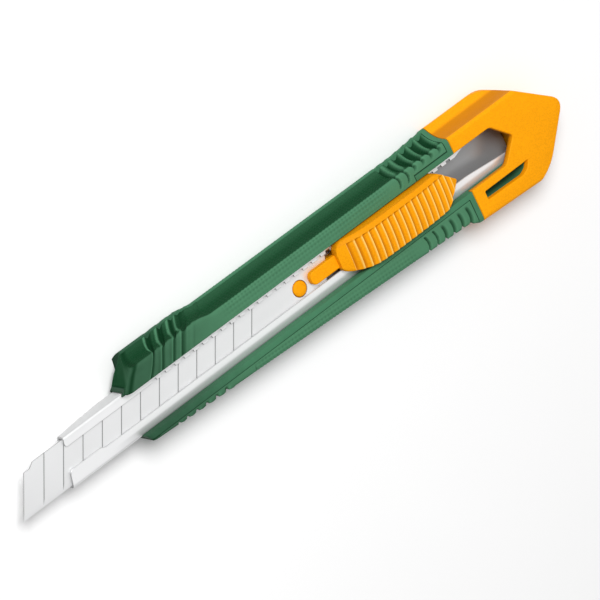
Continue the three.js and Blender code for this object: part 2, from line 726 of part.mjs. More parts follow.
const hull = handleHull();
const handle = new THREE.Group();
handle.add(
  piece("handle_core", "hardGreen", handleCore(hull)),
  piece("upper_grip", "softGreen", upperGrip(hull)),
  piece("lower_grip", "softGreen", lowerGrip(hull)),
  piece("blade_channel", "channelSteel", bladeChannel()),
);
const slider = new THREE.Group();
slider.add(
  piece("blade", "bladeSteel", blade()),
  piece("blade_carrier", "amber", bladeCarrier()),
  piece("lock_spring", "springSteel", lockSpring()),
  piece("thumb_pad", "amber", thumbPad()),
);
const knife = new THREE.Group();
knife.add(handle, slider, piece("tail_cap", "amber", tailCap()));

export default knife;
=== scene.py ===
"""A slim 9 mm snap-off utility knife on its CAD frame: grips, core, channel, blade, slider and cap."""

import math

import bmesh
import bpy
import numpy as np
from mathutils import Matrix, Vector


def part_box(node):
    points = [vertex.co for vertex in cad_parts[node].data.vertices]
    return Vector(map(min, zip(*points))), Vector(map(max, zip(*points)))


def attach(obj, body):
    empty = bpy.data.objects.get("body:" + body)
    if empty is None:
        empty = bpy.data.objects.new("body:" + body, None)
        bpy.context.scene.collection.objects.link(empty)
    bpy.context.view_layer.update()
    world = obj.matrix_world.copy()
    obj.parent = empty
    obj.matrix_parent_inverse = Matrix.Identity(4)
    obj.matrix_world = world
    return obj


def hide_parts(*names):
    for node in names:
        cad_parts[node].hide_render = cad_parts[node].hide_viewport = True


bl_info = {
    "name": "Snap-off Knife",
    "version": (1, 0, 0),
    "blender": (4, 5, 0),
    "location": "View3D > Sidebar > Knife",
    "description": "Builds the pieces, finishes and stage of a slim snap-off utility knife",
    "category": "Object",
}

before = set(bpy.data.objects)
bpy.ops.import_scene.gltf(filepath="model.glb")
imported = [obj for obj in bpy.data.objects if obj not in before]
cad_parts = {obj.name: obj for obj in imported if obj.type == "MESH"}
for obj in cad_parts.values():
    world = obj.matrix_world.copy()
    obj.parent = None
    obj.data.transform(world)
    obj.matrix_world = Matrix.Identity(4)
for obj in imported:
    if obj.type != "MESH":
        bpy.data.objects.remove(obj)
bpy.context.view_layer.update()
MM = 0.001


def cad_box(node):
    """The low and high corners of a CAD node, in millimetres."""
    low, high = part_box(node)
    return np.array(low) / MM, np.array(high) / MM


CORE_LOW, CORE_HIGH = cad_box("handle_core")
CHANNEL_LOW, CHANNEL_HIGH = cad_box("blade_channel")
BLADE_LOW, BLADE_HIGH = cad_box("blade")
CARRIER_LOW, CARRIER_HIGH = cad_box("blade_carrier")
CAP_LOW, _ = cad_box("tail_cap")

# Places along the length and across it, in millimetres
HANDLE_FRONT = float(CORE_LOW[0])
HANDLE_REAR = float(CAP_LOW[0]) - 0.2  # the seam with the cap
FACE = float(CORE_HIGH[2])
SLOT = 4.6  # half the width of the slot in the face
RIM = 1.2  # hard strip beside the slot
COVER = 1.2  # thickness of the soft layer over the core
GRIP_FLOOR = 2.4
GAP = 0.2  # between pieces that sit together
RIM_START = HANDLE_REAR - 10.8
COLLAR = HANDLE_REAR - 1.2
UPPER_EDGE = 8.2  # from the blade's centre line to the edge on the spine side
CAP_FLARE = 2.4  # of the spine side's wall at the cap
EDGE_FLARE = 0.8  # of the cutting side's wall
CAP_SHOULDER = 16.6  # from the seam to where the cap starts to narrow
CAP_LENGTH = 30.6
CAP_WALL = 1.2
STUB_INSET = 1.4  # the cap's wall and the gap inside it
BLADE_TOP = float(BLADE_HIGH[2])
BLADE_HALF = 4.5
SCORE_SLOPE = 1.0 / math.tan(math.radians(59.5))
LIP_TOP = float(CHANNEL_HIGH[2])
CHANNEL_REAR = float(CHANNEL_HIGH[0])
CHANNEL_HALF = 5.0
SHEET = 0.4
ROOM_HALF = 5.15  # the core's room for the channel
ROOM_FLOOR = 2.05
TOOTH = 21.8  # where the lock spring's tooth stands in its notch


# Numbers along a line


def ease(x, start, end):
    """0 before start, 1 after end and a smooth climb between them."""
    t = np.clip((np.asarray(x, float) - start) / (end - start), 0.0, 1.0)
    return t * t * (3.0 - 2.0 * t)


def ramp(x, xs, ys):
    return np.interp(x, xs, ys)


def fall(t):
    """How far a rounded edge has dropped: 0 at its start, 1 a quarter turn on."""
    return 1.0 - np.sqrt(np.clip(1.0 - t**2, 0.0, 1.0))


def circle(radius, count):
    angles = np.linspace(0, 2 * math.pi, count, endpoint=False)
    return np.column_stack([np.cos(angles), np.sin(angles)]) * radius


def spaced(start, end, step):
    count = max(2, int(round((end - start) / step)) + 1)
    return np.linspace(start, end, count)


def curve_through(points, per_span=8):
    """A smooth line through the points, densely sampled."""
    p = np.asarray(points, float)
    p = np.vstack([2 * p[0] - p[1], p, 2 * p[-1] - p[-2]])
    t = np.linspace(0.0, 1.0, per_span, endpoint=False)[:, None]
    parts = []
    for a, b, c, d in zip(p[:-3], p[1:-2], p[2:-1], p[3:]):
        parts.append(
            0.5 * (2 * b + (c - a) * t + (2 * a - 5 * b + 4 * c - d) * t**2 + (3 * b - a - 3 * c + d) * t**3)
        )
    return np.vstack([*parts, p[-2][None, :]])


def along(line, count):
    """The same line as evenly spaced points."""
    steps = np.hypot(*np.diff(line, axis=0).T)
    run = np.concatenate([[0.0], np.cumsum(steps)])
    at = np.linspace(0.0, run[-1], count)
    return np.column_stack([np.interp(at, run, line[:, 0]), np.interp(at, run, line[:, 1])])


def rounded(corners, steps=7):
    """A line or outline whose corners are [x, y] or [x, y, radius]. An open line's ends have no radius."""
    points = []
    total = len(corners)
    for i, corner in enumerate(corners):
        here = np.array(corner[:2], float)
        radius = corner[2] if len(corner) > 2 else 0.0
        if radius <= 0:
            points.append(here)
            continue
        before = np.array(corners[i - 1][:2], float) - here
        after = np.array(corners[(i + 1) % total][:2], float) - here
        start = here + before / np.hypot(*before) * radius
        end = here + after / np.hypot(*after) * radius
        for t in np.linspace(0.0, 1.0, steps):
            points.append((1 - t) ** 2 * start + 2 * t * (1 - t) * here + t * t * end)
    return np.array(points)


def dense(outline, step):
    """A closed outline with extra points, so that no side is longer than the step."""
    points = []
    for a, b in zip(outline, np.roll(outline, -1, axis=0)):
        pieces = max(1, int(math.ceil(np.hypot(*(b - a)) / step)))
        for k in range(pieces):
            points.append(a + (b - a) * k / pieces)
    return np.array(points)


def drawn_in(outline, distance):
    """The closed outline moved inwards, or outwards for a negative distance."""
    x, y = outline[:, 0], outline[:, 1]
    area = 0.5 * np.sum(x * np.roll(y, -1) - y * np.roll(x, -1))
    turn = 1.0 if area > 0 else -1.0
    ahead = np.roll(outline, -1, axis=0) - outline
    ahead /= np.maximum(np.hypot(ahead[:, 0], ahead[:, 1]), 1e-9)[:, None]
    behind = np.roll(ahead, 1, axis=0)
    side = lambda d: np.column_stack([-d[:, 1], d[:, 0]]) * turn
    normal = side(ahead) + side(behind)
    normal /= np.maximum(np.hypot(normal[:, 0], normal[:, 1]), 1e-9)[:, None]
    reach = np.maximum(np.sum(normal * side(ahead), axis=1), 0.45)
    return outline + normal * (distance / reach)[:, None]


# Solids


def new_object(name, vertices, faces):
    """An object from millimetre points, with its faces turned outwards."""
    mesh = bpy.data.meshes.new(name)
    mesh.from_pydata((np.asarray(vertices, float) * MM).tolist(), [], faces)
    work = bmesh.new()
    work.from_mesh(mesh)
    bmesh.ops.recalc_face_normals(work, faces=work.faces)
    if work.calc_volume(signed=True) < 0:
        bmesh.ops.reverse_faces(work, faces=work.faces)
    work.to_mesh(mesh)
    work.free()
    obj = bpy.data.objects.new(name, mesh)
    bpy.context.scene.collection.objects.link(obj)
    return obj


def skin(name, rings):
    """A closed solid through rings of points, one after another, with flat ends."""
    rings = np.asarray(rings, float)
    count, size = rings.shape[:2]
    start = np.arange(count - 1)[:, None] * size
    here = np.arange(size)[None, :]
    ahead = (here + 1) % size
    quads = np.stack([start + here, start + ahead, start + size + ahead, start + size + here], axis=-1)
    faces = quads.reshape(-1, 4).tolist()
    faces.append(list(range(size)))
    faces.append(list(range((count - 1) * size, count * size)))
    return new_object(name, rings.reshape(-1, 3), faces)


def stacked(name, outline, levels):
    """A solid that rises through levels of (height, how far the outline is drawn in)."""
    rings = []
    for height, inset in levels:
        plan = drawn_in(outline, inset) if inset else outline
        rings.append(np.column_stack([plan, np.full(len(plan), height)]))
    return skin(name, rings)


def block(name, low, high):
    x0, y0, z0 = low
    x1, y1, z1 = high
    plan = np.array([[x0, y0], [x1, y0], [x1, y1], [x0, y1]], float)
    return stacked(name, plan, [(z0, 0.0), (z1, 0.0)])


def baked(obj):
    """Turns what the modifiers make into the object's own mesh and takes the modifiers off."""
    bpy.context.view_layer.update()
    graph = bpy.context.evaluated_depsgraph_get()
    mesh = bpy.data.meshes.new_from_object(obj.evaluated_get(graph))
    obj.modifiers.clear()
    obj.data = mesh
    return obj


def combine(obj, tools, operation="DIFFERENCE"):
    """Cuts the tools from the object, or joins them to it, and removes them."""
    for tool in tools:
        modifier = obj.modifiers.new("Shape", "BOOLEAN")
        modifier.operation = operation
        modifier.solver = "MANIFOLD"
        modifier.object = tool
        baked(obj)
        bpy.data.objects.remove(tool)
    if len(obj.data.polygons) < 4:
        raise RuntimeError(f"{obj.name} lost its shape when it was cut")
    return obj


def row_cutter_tree():
    """Geometry nodes that repeat a cutter in a row along a body and cut it."""
    tree = bpy.data.node_groups.get("Row of Cuts")
    if tree:
        return tree
    tree = bpy.data.node_groups.new("Row of Cuts", "GeometryNodeTree")
    inputs = {"Body": "Geometry", "Cutter": "Object", "Count": "Int", "Pitch": "Float", "Finish": "Material"}
    for name, kind in inputs.items():
        tree.interface.new_socket(name, in_out="INPUT", socket_type="NodeSocket" + kind)
    tree.interface.new_socket("Body", in_out="OUTPUT", socket_type="NodeSocketGeometry")
    new = tree.nodes.new
    given = new("NodeGroupInput")
    shape = new("GeometryNodeObjectInfo")
    step = new("ShaderNodeCombineXYZ")
    line = new("GeometryNodeMeshLine")
    line.mode = "OFFSET"
    place = new("GeometryNodeInstanceOnPoints")
    solid = new("GeometryNodeRealizeInstances")
    cut = new("GeometryNodeMeshBoolean")
    cut.operation = "DIFFERENCE"
    cut.solver = "MANIFOLD"
    whole = new("GeometryNodeRealizeInstances")
    paint = new("GeometryNodeSetMaterial")
    result = new("NodeGroupOutput")
    links = (
        (given, "Cutter", shape, "Object"),
        (given, "Pitch", step, "X"),
        (given, "Count", line, "Count"),
        (step, "Vector", line, "Offset"),
        (line, "Mesh", place, "Points"),
        (shape, "Geometry", place, "Instance"),
        (place, "Instances", solid, "Geometry"),
        (given, "Body", cut, "Mesh 1"),
        (solid, "Geometry", cut, "Mesh 2"),
        (cut, "Mesh", whole, "Geometry"),
        (whole, "Geometry", paint, "Geometry"),
        (given, "Finish", paint, "Material"),
        (paint, "Geometry", result, "Body"),
    )
    for source, out, target, into in links:
        tree.links.new(source.outputs[out], target.inputs[into])
    return tree


def cut_in_a_row(obj, cutter, count, pitch, finish):
    """Cuts the same shape a number of times along the length. The pitch is in millimetres."""
    tree = row_cutter_tree()
    keys = {item.name: item.identifier for item in tree.interface.items_tree if item.in_out == "INPUT"}
    modifier = obj.modifiers.new("Row of Cuts", "NODES")
    modifier.node_group = tree
    modifier[keys["Cutter"]] = cutter
    modifier[keys["Count"]] = count
    modifier[keys["Pitch"]] = pitch * MM
    modifier[keys["Finish"]] = finish
    baked(obj)
    bpy.data.objects.remove(cutter)
    if len(obj.data.polygons) < 4:
        raise RuntimeError(f"{obj.name} lost its shape when its row was cut")
    return obj


def give(obj, body, nodes, finish, angle=32):
    """Paints a finished piece, smooths it, and ties it to the frame."""
    obj.data.materials.clear()
    obj.data.materials.append(finish)
    obj.data.shade_smooth()
    obj.data.set_sharp_from_angle(angle=math.radians(angle))
    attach(obj, body)
    if nodes:
        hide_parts(*nodes)
    return obj


# Finishes


class Signal:
    """A shader socket that takes part in sums as a number does."""

    def __init__(self, tree, socket):
        self.tree = tree
        self.socket = socket

    def sum_node(self, operation, first, second=None, third=None):
        node = self.tree.nodes.new("ShaderNodeMath")
        node.operation = operation
        for slot, value in zip(node.inputs, (first, second, third)):
            if isinstance(value, Signal):
                self.tree.links.new(value.socket, slot)
            elif value is not None:
                slot.default_value = value
        return Signal(self.tree, node.outputs[0])

    def __add__(self, other):
        return self.sum_node("ADD", self, other)

    def __radd__(self, other):
        return self.sum_node("ADD", other, self)

    def __sub__(self, other):
        return self.sum_node("SUBTRACT", self, other)

    def __rsub__(self, other):
        return self.sum_node("SUBTRACT", other, self)

    def __mul__(self, other):
        return self.sum_node("MULTIPLY", self, other)

    def __rmul__(self, other):
        return self.sum_node("MULTIPLY", other, self)

    def __truediv__(self, other):
        return self.sum_node("DIVIDE", self, other)

    def __rtruediv__(self, other):
        return self.sum_node("DIVIDE", other, self)

    def __pow__(self, other):
        return self.sum_node("POWER", self, other)

    def climb(self, start, end):
        """0 below start, 1 above end, smooth between them."""
        node = self.tree.nodes.new("ShaderNodeMapRange")
        node.interpolation_type = "SMOOTHSTEP"
        self.tree.links.new(self.socket, node.inputs["Value"])
        node.inputs["From Min"].default_value = start
        node.inputs["From Max"].default_value = end
        return Signal(self.tree, node.outputs["Result"])


class Finish:
    """A procedural material and the helpers that wire it."""

    def __init__(self, name):
        self.material = bpy.data.materials.new(name)
        self.material.use_nodes = True
        self.tree = self.material.node_tree
        self.tree.nodes.clear()
        self.shader = self.tree.nodes.new("ShaderNodeBsdfPrincipled")
        end = self.tree.nodes.new("ShaderNodeOutputMaterial")
        self.tree.links.new(self.shader.outputs["BSDF"], end.inputs["Surface"])

    def node(self, kind, settings, values, output=0):
        node = self.tree.nodes.new(kind)
        for name, value in settings.items():
            setattr(node, name, value)
        for key, value in values.items():
            self.put(node.inputs[key], value)
        return Signal(self.tree, node.outputs[output])

    def put(self, socket, value):
        if isinstance(value, Signal):
            self.tree.links.new(value.socket, socket)
        else:
            socket.default_value = value

    def places(self):
        return self.node("ShaderNodeTexCoord", {}, {}, "Object")

    def facing(self):
        return self.node("ShaderNodeTexCoord", {}, {}, "Normal")

    def part(self, axis, vector=None):
        """One coordinate of a vector, or of the place itself."""
        return self.node("ShaderNodeSeparateXYZ", {}, {0: vector or self.places()}, axis)

    def mark(self, name):
        return self.node("ShaderNodeAttribute", {"attribute_name": name}, {}, "Fac")

    def stretched(self, scale):
        """Object coordinates scaled unevenly."""
        return self.node("ShaderNodeMapping", {}, {"Vector": self.places(), "Scale": scale})

    def noise(self, grain, detail=3.0, vector=None):
        """Cloudy noise whose grain is given in millimetres."""
        values = {"Vector": vector or self.places(), "Scale": 1.0 / (grain * MM), "Detail": detail}
        return self.node("ShaderNodeTexNoise", {}, values, "Fac")

    def blend(self, amount, first, second):
        values = {0: amount, 6: first, 7: second}
        return self.node("ShaderNodeMix", {"data_type": "RGBA"}, values, 2)

    def bump(self, height, distance, strength=1.0):
        values = {"Height": height, "Distance": distance * MM, "Strength": strength}
        return self.node("ShaderNodeBump", {}, values, "Normal")

    def set(self, **values):
        for name, value in values.items():
            self.put(self.shader.inputs[name.replace("_", " ")], value)
        return self.material


def shade(colour, factor):
    return tuple(min(1.0, channel * factor) for channel in colour[:3]) + (1.0,)


def behind_nose(f):
    """0 on the front of the handle, where shade is painted darker, 1 behind it."""
    return f.part("X").climb(-0.042, -0.012)


def hard_green(look):
    f = Finish("Hard Green Moulding")
    cloud = f.noise(2.2)
    grain = f.noise(0.12, 2.0)
    front = behind_nose(f)
    moulded = f.blend(cloud, shade(look.hard_green, 0.86), shade(look.hard_green, 1.14))
    # Painted shade: the core's front is coloured darker where shade falls on the nose.
    shaded_core_front = f.blend(cloud, shade(look.hard_green, 0.36), shade(look.hard_green, 0.56))
    base = f.blend(front, shaded_core_front, moulded)
    return f.set(
        Base_Color=base,
        Roughness=0.5 + grain * 0.14,
        Specular_IOR_Level=0.08,
        Normal=f.bump(grain + cloud * 0.4, 0.02, 0.5),
    )


def soft_green(look):
    f = Finish("Soft Green Overmould")
    cloud = f.noise(3.0)
    grain = f.noise(0.09, 3.0)
    wall = f.mark("wall")
    hollow = f.mark("hollow")
    front = behind_nose(f)
    light_face = f.blend(cloud, shade(look.soft_green, 0.93), shade(look.soft_green, 1.07))
    # Painted shade: the faces are coloured darker at the handle's front where shade falls on the nose.
    shaded_face_front = f.blend(cloud, shade(look.soft_green, 0.38), shade(look.soft_green, 0.62))
    face = f.blend(front, shaded_face_front, light_face)
    lit = f.mark("lit")
    # Painted shade: the walls get a dark green that stands in for the shade on the grips' sides.
    side = f.blend(cloud, shade(look.grip_wall_shade, 0.85), shade(look.grip_wall_shade, 1.15))
    body = f.blend(wall, face, side)
    # Painted shade: the hollows (grooves, pits and dents) are coloured darker where shade falls in them.
    groove_shaded = f.blend(hollow, body, shade(look.grip_wall_shade, 0.7))
    # Painted highlight: the rib edges marked lit are coloured a paler green.
    base = f.blend(lit, groove_shaded, shade(look.soft_green, 1.25))
    return f.set(
        Base_Color=base,
        Roughness=0.62 + grain * 0.16,
        Specular_IOR_Level=0.06,
        Normal=f.bump(grain, 0.025, 0.6),
    )


def amber(look):
    f = Finish("Amber Moulding")
    cloud = f.noise(4.0)
    grain = f.noise(0.14, 3.0)
    ridge = f.mark("ridge")
    hollow = f.mark("hollow")
    speckle_and_pit_shade = f.noise(0.3, 2.0).climb(0.3, 0.7)
    body = f.blend(cloud * 0.4 + speckle_and_pit_shade * 0.6, shade(look.amber, 0.86), shade(look.amber, 1.12))
    # Painted highlight: the ridges are coloured paler where light would catch them.
    lit = f.blend(ridge, body, look.amber_ridge_highlight[:] + (1.0,))
    # Painted shade: the hollows are coloured a deeper amber where shade falls in them.
    base = f.blend(hollow, lit, look.amber_hollow_shade[:] + (1.0,))
    return f.set(
        Base_Color=base,
        Roughness=0.46 + grain * 0.16,
        Specular_IOR_Level=0.07,
        Normal=f.bump(grain, 0.05, 0.8),
    )


def rolled_steel(look):
    f = Finish("Bright Rolled Sheet")
    lines = f.noise(0.25, 3.0, f.stretched((0.03, 1.0, 1.0)))
    cloud = f.noise(6.0)
    # Painted shade: the channel's floor, low down and inside the handle, is coloured grey where shade falls
    # in it.
    height = f.part("Z").climb(0.0028, 0.0058)
    inside = f.part("X").climb(0.002, 0.03)
    bright = f.blend(cloud, shade(look.steel, 0.98), shade(look.steel, 1.04))
    facing = f.facing()
    # Painted shade: faces turned sideways and the sheet's front ends are coloured grey, standing in for shade
    # on them.
    across = f.part("Y", facing)
    ends = f.part("X", facing)
    upright = (across * across).climb(0.35, 0.9)
    end_face = (ends * ends).climb(0.3, 0.8)
    # Painted shade: a grey strip along the lower lip's outer part stands in for the shade beside the green.
    place = f.part("Y")
    strip = (1.0 - place.climb(-0.0036, -0.0030)) * place.climb(-0.0052, -0.0044)
    strip = strip * f.part("X").climb(-0.054, -0.044)
    lip_strip_shaded = f.blend(strip, bright, shade(look.steel, 0.72))
    sided = f.blend(upright, lip_strip_shaded, shade(look.steel, 0.62))
    outer = f.blend(end_face, sided, shade(look.steel, 0.4))
    # Painted shade on the channel's floor.
    floor = f.blend(inside, outer, shade(look.steel, 0.42))
    base = f.blend(height, floor, outer)
    return f.set(
        Base_Color=base,
        Metallic=look.steel_metalness,
        Roughness=0.24 + lines * 0.14,
        Normal=f.bump(lines, 0.006, 0.4),
    )


def ground_steel(look):
    f = Finish("Ground Blade Steel")
    lines = f.noise(0.12, 4.0, f.stretched((1.0, 0.04, 1.0)))
    cloud = f.noise(9.0)
    # Painted shade: faces not turned up, such as the score lines' walls and the ground edges, are coloured
    # darker grey.
    flat = f.part("Z", f.facing())
    level = (flat * flat).climb(0.55, 0.93)
    bright = f.blend(cloud, shade(look.steel, 0.95), shade(look.steel, 0.99))
    base = f.blend(level, shade(look.steel, 0.42), bright)
    return f.set(
        Base_Color=base,
        Metallic=look.steel_metalness,
        Roughness=0.34 + lines * 0.16,
        Normal=f.bump(lines, 0.004, 0.35),
    )


def spring_steel(look):
    f = Finish("Spring Strip")
    lines = f.noise(0.2, 3.0, f.stretched((0.05, 1.0, 1.0)))
    base = f.blend(lines, shade(look.steel, 0.62), shade(look.steel, 0.78))
    return f.set(
        Base_Color=base,
        Metallic=1.0,
        Roughness=0.3 + lines * 0.15,
        Normal=f.bump(lines, 0.004, 0.4),
    )


def bench_white(look):
    f = Finish("Pale Bench")
    cloud = f.noise(60.0)
    base = f.blend(cloud, (0.9, 0.9, 0.9, 1.0), (0.92, 0.92, 0.92, 1.0))
    return f.set(Base_Color=base, Roughness=0.9)


def finish(name, maker):
    """The named material, made once."""
    found = bpy.data.materials.get(name)
    return found or maker(bpy.context.scene.knife_look)


# The handle's outline


def upper_edge(x):
    return UPPER_EDGE + 0.7 * (1.0 - ease(x, HANDLE_FRONT + 21.0, HANDLE_FRONT + 25.0))


def lower_edge(x):
    swell = ramp(x, [HANDLE_REAR - 3.5, HANDLE_REAR - 0.8], [0.0, 1.0])
    return 6.5 + 0.045 * (x - HANDLE_FRONT) + 1.15 * swell


def spine_flare(x):
    return 1.65 + 0.75 * ease(x, HANDLE_REAR - 12.0, HANDLE_REAR)


def side_profile(edge, flare):
    """From the flat face over the rounded edge, down the hollow wall and round the foot to the back."""
    return [
        [edge - 1.3, FACE],
        [edge - 0.55, FACE - 0.07],
        [edge - 0.16, FACE - 0.3],
        [edge + 0.0, FACE - 0.72],
        [edge + 0.05, FACE - 1.8],
        [edge + 0.12 * flare, 5.5],
        [edge + 0.33 * flare, 4.2],
        [edge + 0.66 * flare, 3.05],
        [edge + 0.98 * flare, 2.1],
        [edge + flare, 1.6],
        [edge + 0.78 * flare, 0.7],
        [edge + 0.4 * flare, 0.0],
    ]


def edge_and_flare(x, side):
    if side > 0:
        return float(upper_edge(x)), float(spine_flare(x))
    return float(lower_edge(x)), EDGE_FLARE


def nose_back(y, side):
    """How far the nose falls back at a distance y from the blade's centre line."""
    if side > 0:
        return ramp(y, [SLOT, 7.6, 8.9, 9.9, 10.6, 16.0], [0.0, 2.6, 4.2, 5.3, 6.2, 9.0])
    return ramp(y, [SLOT, 6.4, 7.3, 8.2, 16.0], [0.0, 1.2, 2.1, 3.0, 8.0])


def nose_shape(rings, side):
    """Bends the front rings to the slanted nose and rounds its top edge."""
    start = rings[:, :, 0]
    y = np.abs(rings[:, :, 1])
    z = rings[:, :, 2]
    fade = 1.0 - ease(start, HANDLE_FRONT, HANDLE_FRONT + 12.0)
    depth = np.clip((start - HANDLE_FRONT) / 0.9, 0.0, 1.0)
    drop = 0.55 * fall(1.0 - depth)
    rings[:, :, 2] = z - drop * ease(z, FACE - 2.0, FACE)
    rings[:, :, 0] = start + nose_back(y, side) * fade
    return rings


# The grips


def grip_rings(side, sizes):
    """The soft layer on one bar as rings, with its ribs, its mesh of diamonds and its marks for painted shade
    and highlight.
    """
    step = sizes.grip_grain / MM
    rear = COLLAR - GAP
    stations = spaced(HANDLE_FRONT, rear, step)
    if side > 0:
        stations = np.sort(np.concatenate([stations, [RIM_START - GAP - 0.01, RIM_START - GAP + 0.01]]))
    face_count, wall_count = 30, 58
    rings = []
    for x in stations:
        edge, flare = edge_and_flare(x, side)
        covered = side > 0 and x < RIM_START - GAP
        inner = SLOT if covered else SLOT + RIM + GAP
        into = max(0.0, 1.0 - (x - HANDLE_FRONT) / 2.2)
        inner += 0.35 * into * into if covered else 0.0
        line = curve_through(side_profile(edge, flare), 6)
        low = int(np.argmax(line[:, 1] < GRIP_FLOOR + GAP))
        line = line[: low + 1]
        begin = inner + 0.16
        begin_z = float(np.interp(begin, line[:12, 0], line[:12, 1])) if begin > edge - 1.3 else FACE
        keep = (line[:, 0] > begin + 0.1) | (line[:, 1] < FACE - 0.8)
        split = max(edge - 1.3, begin)
        face = np.column_stack([np.linspace(begin, split, face_count), np.full(face_count, begin_z)])
        if split - begin < 0.3:
            shown = along(np.vstack([[begin, begin_z], line[keep]]), face_count + wall_count - 1)
        else:
            shown = np.vstack([face, along(line, wall_count)[1:]])
        lead = np.array([[inner, FACE - 0.22], [inner + 0.05, begin_z - 0.06]])
        root = SLOT + RIM + GAP
        shelf = FACE - COVER + GAP
        hidden = np.array([[root + 0.4, GRIP_FLOOR + GAP], [root, GRIP_FLOOR + GAP], [root, shelf - 0.05]])
        back = np.array([[min(inner, root - 0.01), shelf]])
        ring = np.vstack([lead, shown, hidden, back])
        rings.append(np.column_stack([np.full(len(ring), x), ring]))
    rings = np.array(rings)
    outer = slice(2, 2 + face_count + wall_count - 1)
    x = rings[:, outer, 0]
    y = rings[:, outer, 1]
    z = rings[:, outer, 2]
    run_y = np.gradient(y, axis=1)
    run_z = np.gradient(z, axis=1)
    length = np.maximum(np.hypot(run_y, run_z), 1e-9)
    normal = np.stack([-run_z / length, run_y / length], axis=-1)
    out = np.where(normal[..., 1] + normal[..., 0] < 0, -1.0, 1.0)[..., None]
    normal = normal * out
    push, hollow, wall_shade_mark, lit = grip_relief(x, y, z, side, sizes)
    rings[:, outer, 1] += normal[..., 0] * push
    rings[:, outer, 2] += normal[..., 1] * push
    marks = {
        "wall": np.zeros(rings.shape[:2]),
        "hollow": np.zeros(rings.shape[:2]),
        "lit": np.zeros(rings.shape[:2]),
    }
    marks["lit"][:, outer] = lit
    marks["wall"][:, outer] = wall_shade_mark
    marks["hollow"][:, outer] = hollow
    # Painted shade: the hidden inner parts take the dark wall colour, and the slot's edge at the nose is
    # darkened.
    marks["wall"][:, outer.stop :] = 1.0
    marks["hollow"][:, :2] = 0.8 * (rings[:, :2, 0] < HANDLE_FRONT + 2.0)
    rings = nose_shape(rings, side)
    rings[:, :, 1] *= side
    return rings, marks


def trough(distance, width):
    """1 in the middle of a groove, 0 outside it."""
    return np.clip(1.0 - (distance / width) ** 2, 0.0, 1.0) ** 1.5


